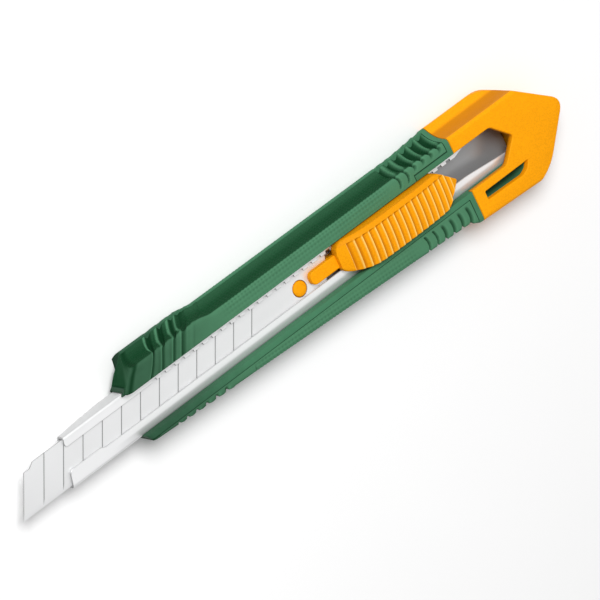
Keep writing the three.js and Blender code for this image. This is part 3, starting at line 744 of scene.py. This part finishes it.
def grip_relief(x, y, z, side, sizes, to_foot=False):
    """How far each point stands in or out, and its marks for painted light: painted shade in a groove and
    down the wall, a painted highlight on a rib edge.
    """
    depth = sizes.groove_depth / MM
    half = 0.5 * sizes.groove_width / MM
    drop = FACE - z
    edge = np.where(side > 0, upper_edge(x), lower_edge(x))
    foot = ease(z, 0.3, 1.6) if side > 0 or to_foot else ease(z, 0.6, 2.8)
    push = np.zeros_like(x)
    hollow = np.zeros_like(x)
    lit = np.zeros_like(x)
    lean = SCORE_SLOPE * (y - SLOT) * 1.0 + 0.47 * drop
    if side > 0:
        spots = [(-39.5, 1.0, 1.0), (-36.4, 1.0, 1.0), (-33.4, 1.0, 1.0), (-31.0, 1.7, 0.9)]
        swell = 1.0 + 0.9 * ease(drop, 0.3, 3.5)
        for place, wide, deep in spots:
            at = x - (place + HANDLE_FRONT + 46.2) - lean
            groove = trough(at, half * wide * 1.35 * swell) * deep * foot
            push -= depth * (0.6 + 0.5 * swell) * groove
            push += 0.35 * depth * swell * trough(at - 1.35 * swell * wide, half * 2.0) * foot
            hollow = np.maximum(hollow, groove)
            edge_line = trough(at + half * wide * 1.5 * swell, 0.32 + 0.1 * swell)
            lit = np.maximum(lit, edge_line * (0.35 + 0.45 * ease(drop, 0.3, 3.0)) * foot)
    else:
        for k in range(6):
            wave = 0.35 * np.sin((y - 4.6) * 1.7)
            at = x - (HANDLE_FRONT + 6.5 + 2.6 * k) - 0.35 * (y - SLOT) - wave - 0.3 * drop
            groove = trough(at, half * 1.3) * ease(y, SLOT + RIM + 0.35, SLOT + RIM + 1.1) * foot
            push -= depth * 1.1 * groove
            push += 0.25 * depth * trough(at - 1.25, 0.8) * foot * ease(y, edge - 1.4, edge)
            hollow = np.maximum(hollow, groove)
            rib_edge = 0.6 * trough(at - 0.75, 0.45) * ease(y, SLOT + RIM + 0.35, SLOT + RIM + 1.1)
            lit = np.maximum(lit, rib_edge)
    first = COLLAR - 1.6 - 5 * 2.4 - 0.35
    for k in range(6):
        short = k >= 2
        inner = SLOT + (0.6 if side > 0 and not short else RIM + 0.5)
        reach = np.clip((y - inner) / np.maximum(edge - inner, 0.1), 0.0, 1.0)
        bow = 0.55 * (1.0 - (2.0 * reach - 1.0) ** 2)
        at = x - (first + 2.4 * k) - bow - 0.12 * drop
        taper = ease(y, inner, inner + (1.3 if short else 0.5))
        swell = 1.0 + 1.1 * ease(drop, 0.0, 2.5)
        width = half * (1.5 if short else 1.0) * swell
        groove = trough(at, width) * taper * foot
        push -= depth * (0.7 + 0.55 * swell) * groove
        hollow = np.maximum(hollow, groove)
        rib_line = trough(at - width * 1.15, 0.28 + 0.2 * swell) * taper * foot
        lit = np.maximum(lit, rib_line * (0.3 + 0.4 * ease(drop, 0.2, 2.5)))
    pitch = sizes.mesh_pitch / MM
    run = x
    down = (y - edge) + drop
    diamonds = np.sin(math.pi * (run + down) / pitch) * np.sin(math.pi * (run - down) / pitch)
    on_wall = ease(drop, 0.5, 1.2) * ease(z, GRIP_FLOOR + 0.5, GRIP_FLOOR + 1.2)
    span = ease(x, -21.0, -16.0) * (1.0 - ease(x, 24.0, 28.5))
    on_face = span * (0.45 + 0.55 * ease(y, edge - 2.6, edge - 0.6))
    amount = np.clip(on_wall + on_face, 0.0, 1.0) * (1.0 - hollow)
    push += sizes.mesh_depth / MM * (diamonds - 0.3) * amount
    # Painted shade down the wall, eased off towards the foot as a painted highlight.
    lighter_wall_foot = 1.0 - 0.25 * ease(drop, 3.2, 6.2)
    wall_shade_mark = ease(drop, 0.3, 0.7) * lighter_wall_foot * (0.93 + 0.07 * diamonds)
    # Painted shade in the diamonds' pits.
    speckle_and_pit_shade = 0.3 * np.clip(-diamonds, 0.0, 1.0) * amount
    dent = trough(x - (HANDLE_FRONT + 0.9), 1.1) * (0.0 if side < 0 else 1.0)
    push -= 0.1 * dent
    # The dent at the nose and the grooves are also marked for painted shade.
    hollow = np.clip(np.maximum(np.maximum(hollow * 0.8, dent * 0.9), speckle_and_pit_shade), 0.0, 1.0)
    return push, hollow, wall_shade_mark, lit * (1.0 - hollow)


def store_marks(obj, marks):
    for name, values in marks.items():
        layer = obj.data.attributes.new(name, "FLOAT", "POINT")
        layer.data.foreach_set("value", np.asarray(values, np.float32).ravel())


def make_grip(name, side, node, sizes):
    rings, marks = grip_rings(side, sizes)
    obj = skin(name, rings)
    store_marks(obj, marks)
    return give(obj, "handle", [node], finish("Soft Green Overmould", soft_green), 50)


# The hard core


def core_rings(sizes):
    stations = spaced(HANDLE_FRONT, HANDLE_REAR, 0.3)
    steps = [RIM_START - 0.01, RIM_START + 0.01, COLLAR - 0.01, COLLAR + 0.01]
    front = HANDLE_FRONT + np.array([0.1, 0.2, 0.35, 0.55])
    stations = np.unique(np.concatenate([stations, steps, front]))
    rings = []
    for x in stations:
        ring = []
        collar = x > COLLAR
        halves = []
        for side in (1, -1):
            edge, flare = edge_and_flare(x, side)
            line = curve_through(side_profile(edge, flare), 6)
            low = int(np.argmax(line[:, 1] < GRIP_FLOOR))
            root = SLOT + RIM
            top = FACE if side < 0 or x > RIM_START else FACE - COVER
            lips = np.array([[SLOT, top - 0.2], [SLOT + 0.06, top - 0.05], [SLOT + 0.2, top]])
            if collar:
                middle = along(np.vstack([[root, FACE], line[: low + 1]]), 24)
            else:
                notch = np.array([[root, top], [root, GRIP_FLOOR], line[low]])
                middle = along(notch, 24)
                middle[np.argmin(np.hypot(*(middle - notch[1]).T))] = notch[1]
            foot = along(line[low:], 14)[1:]
            if not collar:
                at = np.full(len(foot), x)
                push = grip_relief(at, foot[:, 0], foot[:, 1], side, sizes, True)[0]
                fade = float(ease(x, HANDLE_FRONT + 3.0, HANDLE_FRONT + 5.0))
                foot[:, 0] += np.minimum(push, 0.0) * ease(foot[:, 1], 0.2, 1.5) * fade
            half = np.vstack([lips, middle, foot])
            halves.append(half * [side, 1.0])
        upper, lower = halves
        shelf = LIP_TOP + 0.15
        inside = [
            [-SLOT, shelf], [-ROOM_HALF, shelf], [-ROOM_HALF, ROOM_FLOOR],
            [ROOM_HALF, ROOM_FLOOR], [ROOM_HALF, shelf], [SLOT, shelf],
        ]
        ring = np.vstack([upper, lower[::-1], inside])
        rings.append(np.column_stack([np.full(len(ring), x), ring]))
    rings = np.array(rings)
    upper = rings[:, :, 1] > 0
    return np.where(upper[..., None], nose_shape(rings.copy(), 1), nose_shape(rings.copy(), -1))


def arrow_plan(upper, lower_seam, lower_shoulder, inset, front):
    shoulder = HANDLE_REAR + CAP_SHOULDER - inset / 2
    tip = HANDLE_REAR + CAP_LENGTH - 1.5 * inset
    return rounded([
        [front, -lower_seam],
        [shoulder - 1.0, -lower_shoulder, 2.6],
        [shoulder + 4.6, -0.8 * lower_shoulder, 2.6],
        [tip, 0.0, 3.0],
        [shoulder, upper, 4.0],
        [front, upper],
    ], 14)


def snap_slot(name, low):
    front = HANDLE_REAR + 3.1
    rear = front + 13.0
    middle = -7.6
    plan = rounded([
        [front, middle - 0.8, 0.3],
        [rear - 2.6, middle - 1.1, 0.5],
        [rear - 1.0, middle - 0.4, 0.5],
        [rear, middle + 1.1, 0.3],
        [front, middle + 1.1, 0.3],
    ], 5)
    rounded_mouth = [(FACE - 0.35, 0.0), (FACE - 0.12, -0.06), (FACE + 0.02, -0.25), (FACE + 1, -0.25)]
    return stacked(name, plan, [(low, 0.0)] + rounded_mouth)


def make_core(sizes):
    obj = skin("hard_core", core_rings(sizes))
    lower = float(lower_edge(HANDLE_REAR)) - STUB_INSET
    stub = stacked(
        "stub",
        arrow_plan(UPPER_EDGE - STUB_INSET, lower, lower, STUB_INSET, HANDLE_REAR - 0.9),
        [(1.2, 0.0), (FACE - 1.6, 0.0)],
    )
    inner = CHANNEL_REAR + 0.15
    end = block("stub_end", [CHANNEL_REAR, -20, -1], [inner + 40, 20, 12])
    room = block("stub_room", [HANDLE_REAR - 2, -ROOM_HALF, ROOM_FLOOR], [inner, ROOM_HALF, LIP_TOP + 0.15])
    mouth = block("stub_mouth", [HANDLE_REAR - 2, -SLOT, LIP_TOP], [inner, SLOT, 12])
    combine(stub, [end, room, mouth])
    combine(obj, [stub], "UNION")
    combine(obj, [snap_slot("slot_tool", FACE - 5.0)])
    return give(obj, "handle", ["handle_core"], finish("Hard Green Moulding", hard_green), 40)


# The channel


def folded_ring(x):
    """The channel's cross-section: a sheet folded in at both sides."""
    low = 5.8 - float(ramp(x, [HANDLE_FRONT - 17.7, HANDLE_FRONT - 3.5], [1.9, 3.6]))
    lip = 2.1 - 0.5 * (1.0 - float(ease(x, HANDLE_FRONT - 9.0, HANDLE_FRONT - 7.5)))
    turn = fall(1.0 - min(1.0, (x - HANDLE_FRONT + 17.7) / 0.9))
    lip += 0.9 * turn + 1.3 * float(ramp(x, [HANDLE_REAR + 2.0, CHANNEL_REAR], [0.0, 1.0]))
    upper = 3.0 + 0.7 * turn

    def fold(inset, shoulder, heel):
        side = CHANNEL_HALF - inset
        top, bottom = LIP_TOP - inset, low + inset
        return rounded([
            [upper, top], [side, top, shoulder], [side, bottom, heel],
            [-side, bottom, heel], [-side, top, shoulder], [-lip, top],
        ])

    outer, inner = fold(0.0, 0.75, 0.9), fold(SHEET, 0.35, 0.5)
    end = np.array([[-lip + 0.09, LIP_TOP - 0.1], [-lip + 0.09, LIP_TOP - SHEET + 0.1]])
    start = np.array([[upper - 0.09, LIP_TOP - SHEET + 0.1], [upper - 0.09, LIP_TOP - 0.1]])
    return np.vstack([outer, end, inner[::-1], start])


def make_channel(sizes):
    front = float(CHANNEL_LOW[0])
    stations = np.concatenate([
        spaced(front, front + 0.9, 0.09),
        spaced(front + 1.2, HANDLE_FRONT - 3.5, 0.35),
        spaced(HANDLE_FRONT - 2.5, CHANNEL_REAR, 3.0),
    ])
    rings = []
    for x in stations:
        ring = folded_ring(x)
        rings.append(np.column_stack([np.full(len(ring), x), ring]))
    rings = np.array(rings)
    slant = 0.3 * (rings[:, :, 1] + CHANNEL_HALF) * (1.0 - ease(rings[:, :, 0], front, front + 9.0))
    rings[:, :, 0] += slant
    obj = skin("steel_channel", rings)
    lip_end = np.array([[1.0, 0.0], [1.0, 2.95], [6.5, 4.6], [45.0, 4.6], [45.0, 0.0]]) + [HANDLE_REAR, 0.0]
    combine(obj, [stacked("lip_end", lip_end, [(LIP_TOP - 0.55, 0.0), (9.0, 0.0)])])
    pitch = sizes.notch_pitch / MM
    first = TOOTH - 24 * pitch
    count = int((HANDLE_REAR + 1 - first) / pitch) + 1
    left, right = first - 0.6, first + 0.6
    notch = rounded([[left, 2.0], [right, 2.0], [right, 3.5, 0.2], [left, 3.5, 0.2]], 4)
    tool = stacked("notch_tool", notch, [(LIP_TOP - 0.55, 0.0), (9.0, 0.0)])
    steel = finish("Bright Rolled Sheet", rolled_steel)
    cut_in_a_row(obj, tool, count, pitch, steel)
    return give(obj, "handle", ["blade_channel"], steel, 35)


# The blade


def make_blade(sizes):
    tip, rear = float(BLADE_LOW[0]), float(BLADE_HIGH[0])
    half = BLADE_HALF
    plan = rounded([
        [tip, -half],
        [rear - 3.2, -half, 0.15],
        [rear, half - 2, 0.5],
        [rear, half - 0.6, 0.2],
        [rear - 0.6, half, 0.2],
        [tip + 7.4, half, 0.15],
        [tip + 6.2, half - 0.85, 0.15],
        [tip + SCORE_SLOPE * (2 * half - 0.85), half - 0.85],
    ], 5)
    low, top = float(BLADE_LOW[2]), BLADE_TOP
    obj = stacked("snap_off_blade", plan, [(low, 0.0), (top, 0.0)])
    levels = [(low - 1, 0.0), (top - 0.04, 0.0), (top + 0.06, -0.08), (top + 1, -0.08)]
    combine(obj, [stacked("hole", circle(1.8, 48), levels)])
    middle = 0.5 * (low + top)
    wedges = []
    for sign in (1, -1):
        flat = middle + sign * 0.5 * (top - low)
        edge = middle + sign * 0.015
        section = [[-half + 1.3, flat], [-half, edge], [-half - 0.5, edge], [-half - 0.5, flat + sign],
                   [-half + 1.3, flat + sign]]
        wedges.append(skin("grind", [[[x, *point] for point in section] for x in (tip - 1, rear + 1)]))
    combine(obj, wedges)
    pitch = sizes.segment_pitch / MM
    first = tip + pitch
    line = [(offset, top + height) for offset, height in ((-0.13, 0.1), (0.13, 0.1), (0.0, -0.14))]
    ends = []
    for y in (-half - 1.0, half + 1.0):
        at = first + SCORE_SLOPE * (y + half)
        ends.append([[at + offset * 1.6, y, height] for offset, height in line])
    steel = finish("Ground Blade Steel", ground_steel)
    cut_in_a_row(obj, skin("score_tool", ends), 12, pitch, steel)
    return give(obj, "slider", ["blade"], steel, 14)


# The slider


def make_runner():
    """The carrier under the blade with its round-topped peg and the stem that goes up into the button."""
    half = 4.35
    top = 5.45
    front, rear = float(CARRIER_LOW[0]), float(CARRIER_HIGH[0])
    side = [[front, 3.15, 0.6], [front + 1.2, half, 0.6], [2.7, half, 0.6], [3.9, 1.2, 0.6], [11.7, 1.2, 0.6],
            [12.9, half, 0.6], [rear - 1.2, half, 0.6], [rear, 3.15, 0.6]]
    plan = rounded([[x, -y, r] for x, y, r in side] + side[::-1], 5)
    obj = stacked("slider_runner", plan, [(top - 2.5, 0.2), (top - 2.3, 0.0), (top - 0.2, 0.0), (top, 0.2)])
    crown = LIP_TOP - 0.1
    rings = []
    for share, height in ((1.0, top - 0.4), (1.0, crown - 0.42), (0.97, crown - 0.3), (0.88, crown - 0.18),
                          (0.7, crown - 0.09), (0.45, crown - 0.03), (0.2, crown - 0.005), (0.04, crown)):
        ring = circle(1.65, 56) * share
        rings.append(np.column_stack([ring, np.full(len(ring), height)]))
    peg = skin("peg", rings)
    stem = block("stem", [12.7, -1.7, top - 0.4], [32.3, 1.1, 8.0])
    combine(obj, [peg, stem], "UNION")
    return give(obj, "slider", ["blade_carrier"], finish("Amber Moulding", amber), 32)


def pad_sides(x):
    """The button's low and high edge in Y at a place along its length."""
    low = ramp(x, [9.7, 10.0, 10.6, 11.6, 13.2, 15.2, 17.2, 36.9, 38.1, 39.2, 41.6, 42.3, 42.5],
               [-1.3, -1.9, -2.5, -3.0, -3.55, -4.05, -4.35, -4.35, -4.1, -3.2, -0.95, -0.35, -0.12])
    high = ramp(x, [9.7, 10.0, 10.5, 11.3, 12.5, 36.9, 38.1, 39.2, 41.6, 42.3, 42.5],
                [2.1, 3.2, 3.85, 4.25, 4.35, 4.35, 4.1, 3.2, 0.95, 0.35, 0.12])
    return low, high


def make_button(sizes):
    """The thumb button: a long crowned pad with saw-toothed ribs and a tongue over the blade's tail."""
    front, rear = 9.7, 42.45
    step = sizes.rib_pitch / MM / 22
    stations = spaced(front, rear, step)
    across = np.concatenate([[0.0, 0.012, 0.03, 0.06], np.linspace(0.1, 0.9, 34), [0.94, 0.97, 0.988, 1.0]])
    crest_points = [
        [9.2, 8.35], [11.2, 9.35], [14.7, 11.1], [18.0, 11.75], [22.0, 11.98], [28.0, 12.0],
        [33.1, 11.85], [38.6, 11.1], [43.5, 9.3],
    ]
    crest_line = curve_through(crest_points, 10)
    depth = sizes.rib_depth / MM
    pitch = sizes.rib_pitch / MM
    under = LIP_TOP + 0.25
    rings = []
    ridge = []
    hollow = []
    for x in stations:
        low, high = pad_sides(x)
        y = low + (high - low) * across
        crest = float(np.interp(x, crest_line[:, 0], crest_line[:, 1]))
        bend = 0.95 * np.clip((3.2 - y) / 7.5, 0.0, 1.0) ** 2 + 0.5 * ease(y, 3.3, 4.4)
        z = crest - bend
        phase = (x - 12.0) / pitch
        inside = 0 <= phase < 17.0
        local = phase - math.floor(phase)
        tooth = min(local / 0.2, 1.0) * (1.0 - (max(0.0, local - 0.2) / 0.8) ** 1.5)
        band = 1.0 - ease(y, 3.1, 3.45)
        ribs = depth * tooth * band * (1.0 if inside else 0.0)
        ribs = ribs * (0.45 + 0.55 * ease(y, low, low + 0.5)) * (1.0 - 0.7 * ease(x, 39.5, 41.5))
        z = z - ribs
        lip = 0.35 * fall(1.0 - np.clip(across / 0.06, 0, 1))
        far = 0.35 * fall(1.0 - np.clip((1 - across) / 0.06, 0, 1))
        z = np.maximum(z - lip - far, under + 0.3)
        top = np.column_stack([np.full(len(y), x), y, z])
        base = [[x, high, under + 0.1], [x, high - 0.1, under], [x, low + 0.1, under], [x, low, under + 0.1]]
        rings.append(np.vstack([top, base]))
        on_rib = band * (1.0 if inside else 0.0)
        # Marks for painted light: a painted highlight near each rib's crest, and painted shade in the
        # troughs, on the flank past the ribs and on the base.
        near_crest = max(0.0, 1.0 - min(local, 1.0 - local) / 0.2)
        in_trough = max(0.0, 1.0 - abs(local - 0.26) / 0.3)
        plain = np.zeros(len(base))
        ridge.append(np.concatenate([on_rib * near_crest, plain]))
        hollow.append(np.concatenate([0.9 * on_rib * in_trough + 0.3 * (1.0 - band), plain + 0.3]))
    obj = skin("thumb_button", rings)
    store_marks(obj, {"ridge": np.array(ridge), "hollow": np.array(hollow)})
    tongue = rounded([[12.6, -1.1], [12.6, 1.9], [2.5, 1.9, 1.4], [2.5, -1.1, 1.4]][::-1], 9)
    low = BLADE_TOP + 0.15
    finger = stacked("tongue", tongue, [(low, 0.12), (low + 0.1, 0.0), (7.1, 0.0), (7.3, 0.07), (7.4, 0.25)])
    combine(obj, [finger], "UNION")
    clear = block("blade_room", [-9, -9, 0], [8.65, 9, low - 0.01])
    socket = block("socket", [12.5, -1.9, 0], [32.5, 1.3, 8.2])
    spring = block("spring_room", [12.8, 0.8, 0], [30.8, 6.0, 7.05])
    combine(obj, [clear, socket, spring])
    return give(obj, "slider", ["thumb_pad"], finish("Amber Moulding", amber), 24)


# The cap


def wall_at(height, flare):
    """How far the wall stands out past the face's edge at a height."""
    line = curve_through(side_profile(0.0, flare), 6)
    line = line[np.argsort(line[:, 1])]
    return max(float(np.interp(height, line[:, 1], line[:, 0])), -0.35)


def make_cap():
    """The pointed cap: hollow, with an arrow window over the channel and a slot for snapping the blade."""
    seam = HANDLE_REAR + GAP
    low_seam = float(lower_edge(HANDLE_REAR)) + EDGE_FLARE
    low_shoulder = float(lower_edge(HANDLE_REAR + CAP_SHOULDER)) + EDGE_FLARE
    outer = dense(arrow_plan(UPPER_EDGE + CAP_FLARE, low_seam, low_shoulder, 0.0, seam), 0.4)
    heights = np.concatenate([[0.0, 0.12, 0.3, 0.7], np.arange(1.1, FACE - 1.0, 0.3),
                              FACE - np.array([0.9, 0.7, 0.5, 0.35, 0.22, 0.12, 0.05, 0.0])])
    rings = []
    for height in heights:
        plan = outer.copy()
        at_seam = plan[:, 0] < seam + 0.001
        high = UPPER_EDGE + wall_at(height, CAP_FLARE)
        low = lower_edge(plan[:, 0]) + wall_at(height, EDGE_FLARE)
        squeeze = np.where(plan[:, 1] > 0, high / plan[:, 1].max(), low / abs(plan[at_seam, 1].min()))
        clipped = np.clip(plan[:, 1], -low, high)
        plan[:, 1] = np.where(at_seam, plan[:, 1] * squeeze, clipped)
        over = max(0.0, height - (FACE - 0.45)) / 0.45
        under = max(0.0, 0.3 - height) / 0.3
        inset = 0.4 * fall(over) + 0.3 * fall(under)
        plan = drawn_in(plan, inset) if inset > 0 else plan
        plan[:, 0] = np.maximum(plan[:, 0], seam)
        rings.append(np.column_stack([plan, np.full(len(plan), height)]))
    obj = skin("arrow_cap", rings)
    lower = float(lower_edge(HANDLE_REAR)) - CAP_WALL
    inner_plan = arrow_plan(7.0, lower, lower, CAP_WALL, HANDLE_REAR - 1)
    cavity = stacked("cavity", inner_plan, [(1.0, 0.0), (FACE - 1.4, 0.0)])
    end = block("cavity_end", [CHANNEL_REAR + 0.5, -20, -1], [CHANNEL_REAR + 40, 20, 12])
    combine(cavity, [end])
    window = rounded([
        [HANDLE_REAR - 5, -SLOT],
        [HANDLE_REAR + 10.7, -SLOT, 0.8],
        [HANDLE_REAR + 15.2, 0.0, 0.7],
        [HANDLE_REAR + 10.7, SLOT, 0.8],
        [HANDLE_REAR - 5, SLOT],
    ], 8)
    opening = stacked(
        "window",
        window,
        [(2.0, 0.0), (FACE - 0.3, 0.0), (FACE - 0.12, -0.05), (FACE, -0.2), (FACE + 1, -0.2)],
    )
    combine(obj, [cavity, opening, snap_slot("slot_tool", 2.0)])
    spots = np.array([vertex.co[:] for vertex in obj.data.vertices]) / MM
    x, y, z = spots.T
    # Painted shade: a band up the spine side's hollow wall and the insides seen through the window are marked
    # to be coloured darker.
    rise = ease(z, 3.4, 4.2) * (1.0 - ease(z, 7.9, 8.3)) * ease(y, 7.9, 8.3)
    within = ease(z, 1.2, 1.5) * (1.0 - ease(z, 7.6, 8.2)) * (np.abs(y) < 4.75) * (x < 61.0)
    store_marks(obj, {"hollow": np.clip(np.maximum(0.75 * rise, within), 0.0, 1.0)})
    return give(obj, "cap", ["tail_cap"], finish("Amber Moulding", amber), 32)


# The stage


def aim(obj, place, target):
    direction = (Vector(target) - Vector(place)).normalized()
    obj.location = place
    obj.rotation_euler = direction.to_track_quat("-Z", "Y").to_euler()


def area_light(name, place, target, size, power):
    lamp = bpy.data.lights.new(name, "AREA")
    lamp.shape = "DISK"
    lamp.size = size
    lamp.energy = power
    obj = bpy.data.objects.new(name, lamp)
    bpy.context.scene.collection.objects.link(obj)
    aim(obj, place, target)
    return obj


def make_camera():
    azimuth, elevation, roll = (math.radians(angle) for angle in (231.3, 56.3, 97.0))
    back = Vector((
        math.sin(azimuth) * math.cos(elevation),
        -math.cos(azimuth) * math.cos(elevation),
        math.sin(elevation),
    ))
    level = (-back).cross(Vector((0, 0, 1))).normalized()
    upright = level.cross(-back)
    right = math.cos(roll) * level + math.sin(roll) * upright
    up = back.cross(right)
    target = Vector((-1.0, -2.1, 5.8)) * MM
    distance = 0.6034
    place = target + back * distance
    camera = bpy.data.cameras.new("Camera")
    camera.lens = 178.6
    camera.sensor_width = 36.0
    camera.clip_start = 0.01
    obj = bpy.data.objects.new("Camera", camera)
    bpy.context.scene.collection.objects.link(obj)
    obj.matrix_world = Matrix.Translation(place) @ Matrix((right, up, back)).transposed().to_4x4()
    bpy.context.scene.camera = obj


def make_stage(look):
    half = 3000.0
    corners = [[-half, -half, 0], [half, -half, 0], [half, half, 0], [-half, half, 0]]
    floor = new_object("bench", corners, [[0, 1, 2, 3]])
    floor.data.materials.append(finish("Pale Bench", bench_white))
    floor.location.z = -0.00005
    world = bpy.data.worlds.new("Studio")
    world.use_nodes = True
    background = world.node_tree.nodes["Background"]
    background.inputs["Color"].default_value = (1.0, 1.0, 1.0, 1.0)
    background.inputs["Strength"].default_value = look.room_light
    bpy.context.scene.world = world
    bpy.context.scene.view_settings.view_transform = "Standard"
    area_light("Key", (-0.15, 0.4, 0.65), (0, 0, 0), 0.4, look.key_power)
    area_light("Fill", (0.45, -0.42, 0.85), (0, 0, 0), 0.7, look.fill_power)
    make_camera()


# Sizes and colours that a user would change


def length(name, description, value, low, high):
    return bpy.props.FloatProperty(
        name=name, description=description, default=value, min=low, max=high, unit="LENGTH")


class KnifeSizes(bpy.types.PropertyGroup):
    groove_depth: length(
        "Grip Groove Depth", "Depth of the grooves between the grips' ribs", 0.00045, 0.0, 0.001)
    groove_width: length(
        "Grip Groove Width", "Width of the grooves between the grips' ribs", 0.0007, 0.0002, 0.002)
    mesh_pitch: length(
        "Grip Mesh Pitch", "Spacing of the small diamonds on the grips' walls", 0.0009, 0.0004, 0.003)
    mesh_depth: length(
        "Grip Mesh Depth", "Height of the small diamonds on the grips' walls", 0.00009, 0.0, 0.0003)
    grip_grain: length(
        "Grip Fineness", "Spacing of the rings that the grips are built from", 0.00016, 0.0001, 0.001)
    notch_pitch: length(
        "Notch Pitch", "Spacing of the notches in the channel's lip", 0.0025, 0.002, 0.005)
    segment_pitch: length(
        "Segment Pitch", "Spacing of the blade's score lines", 0.005, 0.003, 0.008)
    rib_pitch: length(
        "Button Rib Pitch", "Spacing of the ribs on the thumb button", 0.0017, 0.001, 0.003)
    rib_depth: length(
        "Button Rib Depth", "Depth of the button's saw-toothed ribs", 0.0006, 0.0, 0.001)


def colour(name, description, value):
    return bpy.props.FloatVectorProperty(
        name=name, description=description, default=value, size=3, min=0.0, max=1.0, subtype="COLOR")


class KnifeLook(bpy.types.PropertyGroup):
    hard_green: colour("Hard Green", "Colour of the core's moulding", (0.055, 0.18, 0.095))
    soft_green: colour("Soft Green", "Colour of the grips' faces", (0.068, 0.2, 0.108))
    # Painted shade: a dark green for the grips' walls and grooves, standing in for the shade on them.
    grip_wall_shade: colour("Grip Wall", "Colour of the grips' walls and grooves", (0.002, 0.042, 0.012))
    amber: colour("Amber", "Colour of the button, the carrier and the cap", (0.93, 0.345, 0.002))
    # Painted highlight: this paler amber along the ridges stands in for light catching them.
    amber_ridge_highlight: colour("Amber Ridge", "Paler colour along worn ridges of the amber pieces", (1.0, 0.7, 0.2))
    # Painted shade: this deeper amber stands in for the shade in the amber pieces' hollows.
    amber_hollow_shade: colour("Amber Hollow", "Deeper colour in hollows of the amber pieces", (0.48, 0.15, 0.0008))
    steel: colour("Steel", "Colour of the channel and the blade", (0.95, 0.955, 0.96))
    steel_metalness: bpy.props.FloatProperty(
        name="Steel Metalness", description="How metallic the bright steel is",
        default=0.6, min=0.0, max=1.0, subtype="FACTOR")
    key_power: bpy.props.FloatProperty(
        name="Key Light", description="Power of the soft light overhead",
        default=5.7, min=0.0, unit="POWER")
    fill_power: bpy.props.FloatProperty(
        name="Fill Light", description="Power of the weak light from the other side",
        default=0.5, min=0.0, unit="POWER")
    room_light: bpy.props.FloatProperty(
        name="Room Light", description="Strength of the even light all round",
        default=0.38, min=0.0)


# Operators


class KNIFE_OT_core(bpy.types.Operator):
    """Build the hard core with its back, rims and stub"""

    bl_idname = "knife.core"
    bl_label = "Hard Core"

    def execute(self, context):
        make_core(context.scene.knife_sizes)
        return {"FINISHED"}


class KNIFE_OT_grips(bpy.types.Operator):
    """Build the two soft grips with their ribs and mesh"""

    bl_idname = "knife.grips"
    bl_label = "Soft Grips"

    def execute(self, context):
        sizes = context.scene.knife_sizes
        make_grip("spine_side_grip", 1, "upper_grip", sizes)
        make_grip("edge_side_grip", -1, "lower_grip", sizes)
        return {"FINISHED"}


class KNIFE_OT_channel(bpy.types.Operator):
    """Build the folded steel channel with its row of notches"""

    bl_idname = "knife.channel"
    bl_label = "Steel Channel"

    def execute(self, context):
        make_channel(context.scene.knife_sizes)
        return {"FINISHED"}


class KNIFE_OT_blade(bpy.types.Operator):
    """Build the snap-off blade with its score lines"""

    bl_idname = "knife.blade"
    bl_label = "Snap-off Blade"

    def execute(self, context):
        make_blade(context.scene.knife_sizes)
        return {"FINISHED"}


class KNIFE_OT_slider(bpy.types.Operator):
    """Build the runner with its peg and the thumb button, and finish the lock spring"""

    bl_idname = "knife.slider"
    bl_label = "Slider"

    def execute(self, context):
        make_runner()
        make_button(context.scene.knife_sizes)
        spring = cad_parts["lock_spring"]
        spring.material_slots[0].material = finish("Spring Strip", spring_steel)
        return {"FINISHED"}


class KNIFE_OT_cap(bpy.types.Operator):
    """Build the pointed tail cap with its window and snapping slot"""

    bl_idname = "knife.cap"
    bl_label = "Tail Cap"

    def execute(self, context):
        make_cap()
        return {"FINISHED"}


class KNIFE_OT_stage(bpy.types.Operator):
    """Lay the pale bench and set the lights and the camera"""

    bl_idname = "knife.stage"
    bl_label = "Stage"

    def execute(self, context):
        make_stage(context.scene.knife_look)
        return {"FINISHED"}


OPERATORS = (
    KNIFE_OT_core,
    KNIFE_OT_grips,
    KNIFE_OT_channel,
    KNIFE_OT_blade,
    KNIFE_OT_slider,
    KNIFE_OT_cap,
    KNIFE_OT_stage,
)


class KNIFE_PT_panel(bpy.types.Panel):
    """Lists the knife's pieces, sizes and colours"""

    bl_idname = "KNIFE_PT_panel"
    bl_label = "Snap-off Knife"
    bl_space_type = "VIEW_3D"
    bl_region_type = "UI"
    bl_category = "Knife"

    def draw(self, context):
        for operator in OPERATORS:
            self.layout.operator(operator.bl_idname)
        for group in (context.scene.knife_sizes, context.scene.knife_look):
            box = self.layout.box()
            for name in group.__annotations__:
                box.prop(group, name)


CLASSES = (KnifeSizes, KnifeLook, *OPERATORS, KNIFE_PT_panel)


def register():
    for each in CLASSES:
        bpy.utils.register_class(each)
    bpy.types.Scene.knife_sizes = bpy.props.PointerProperty(type=KnifeSizes)
    bpy.types.Scene.knife_look = bpy.props.PointerProperty(type=KnifeLook)


def unregister():
    del bpy.types.Scene.knife_look
    del bpy.types.Scene.knife_sizes
    for each in reversed(CLASSES):
        bpy.utils.unregister_class(each)


def main():
    register()
    for operator in OPERATORS:
        group, name = operator.bl_idname.split(".")
        getattr(getattr(bpy.ops, group), name)()


if __name__ == "__main__":
    main()
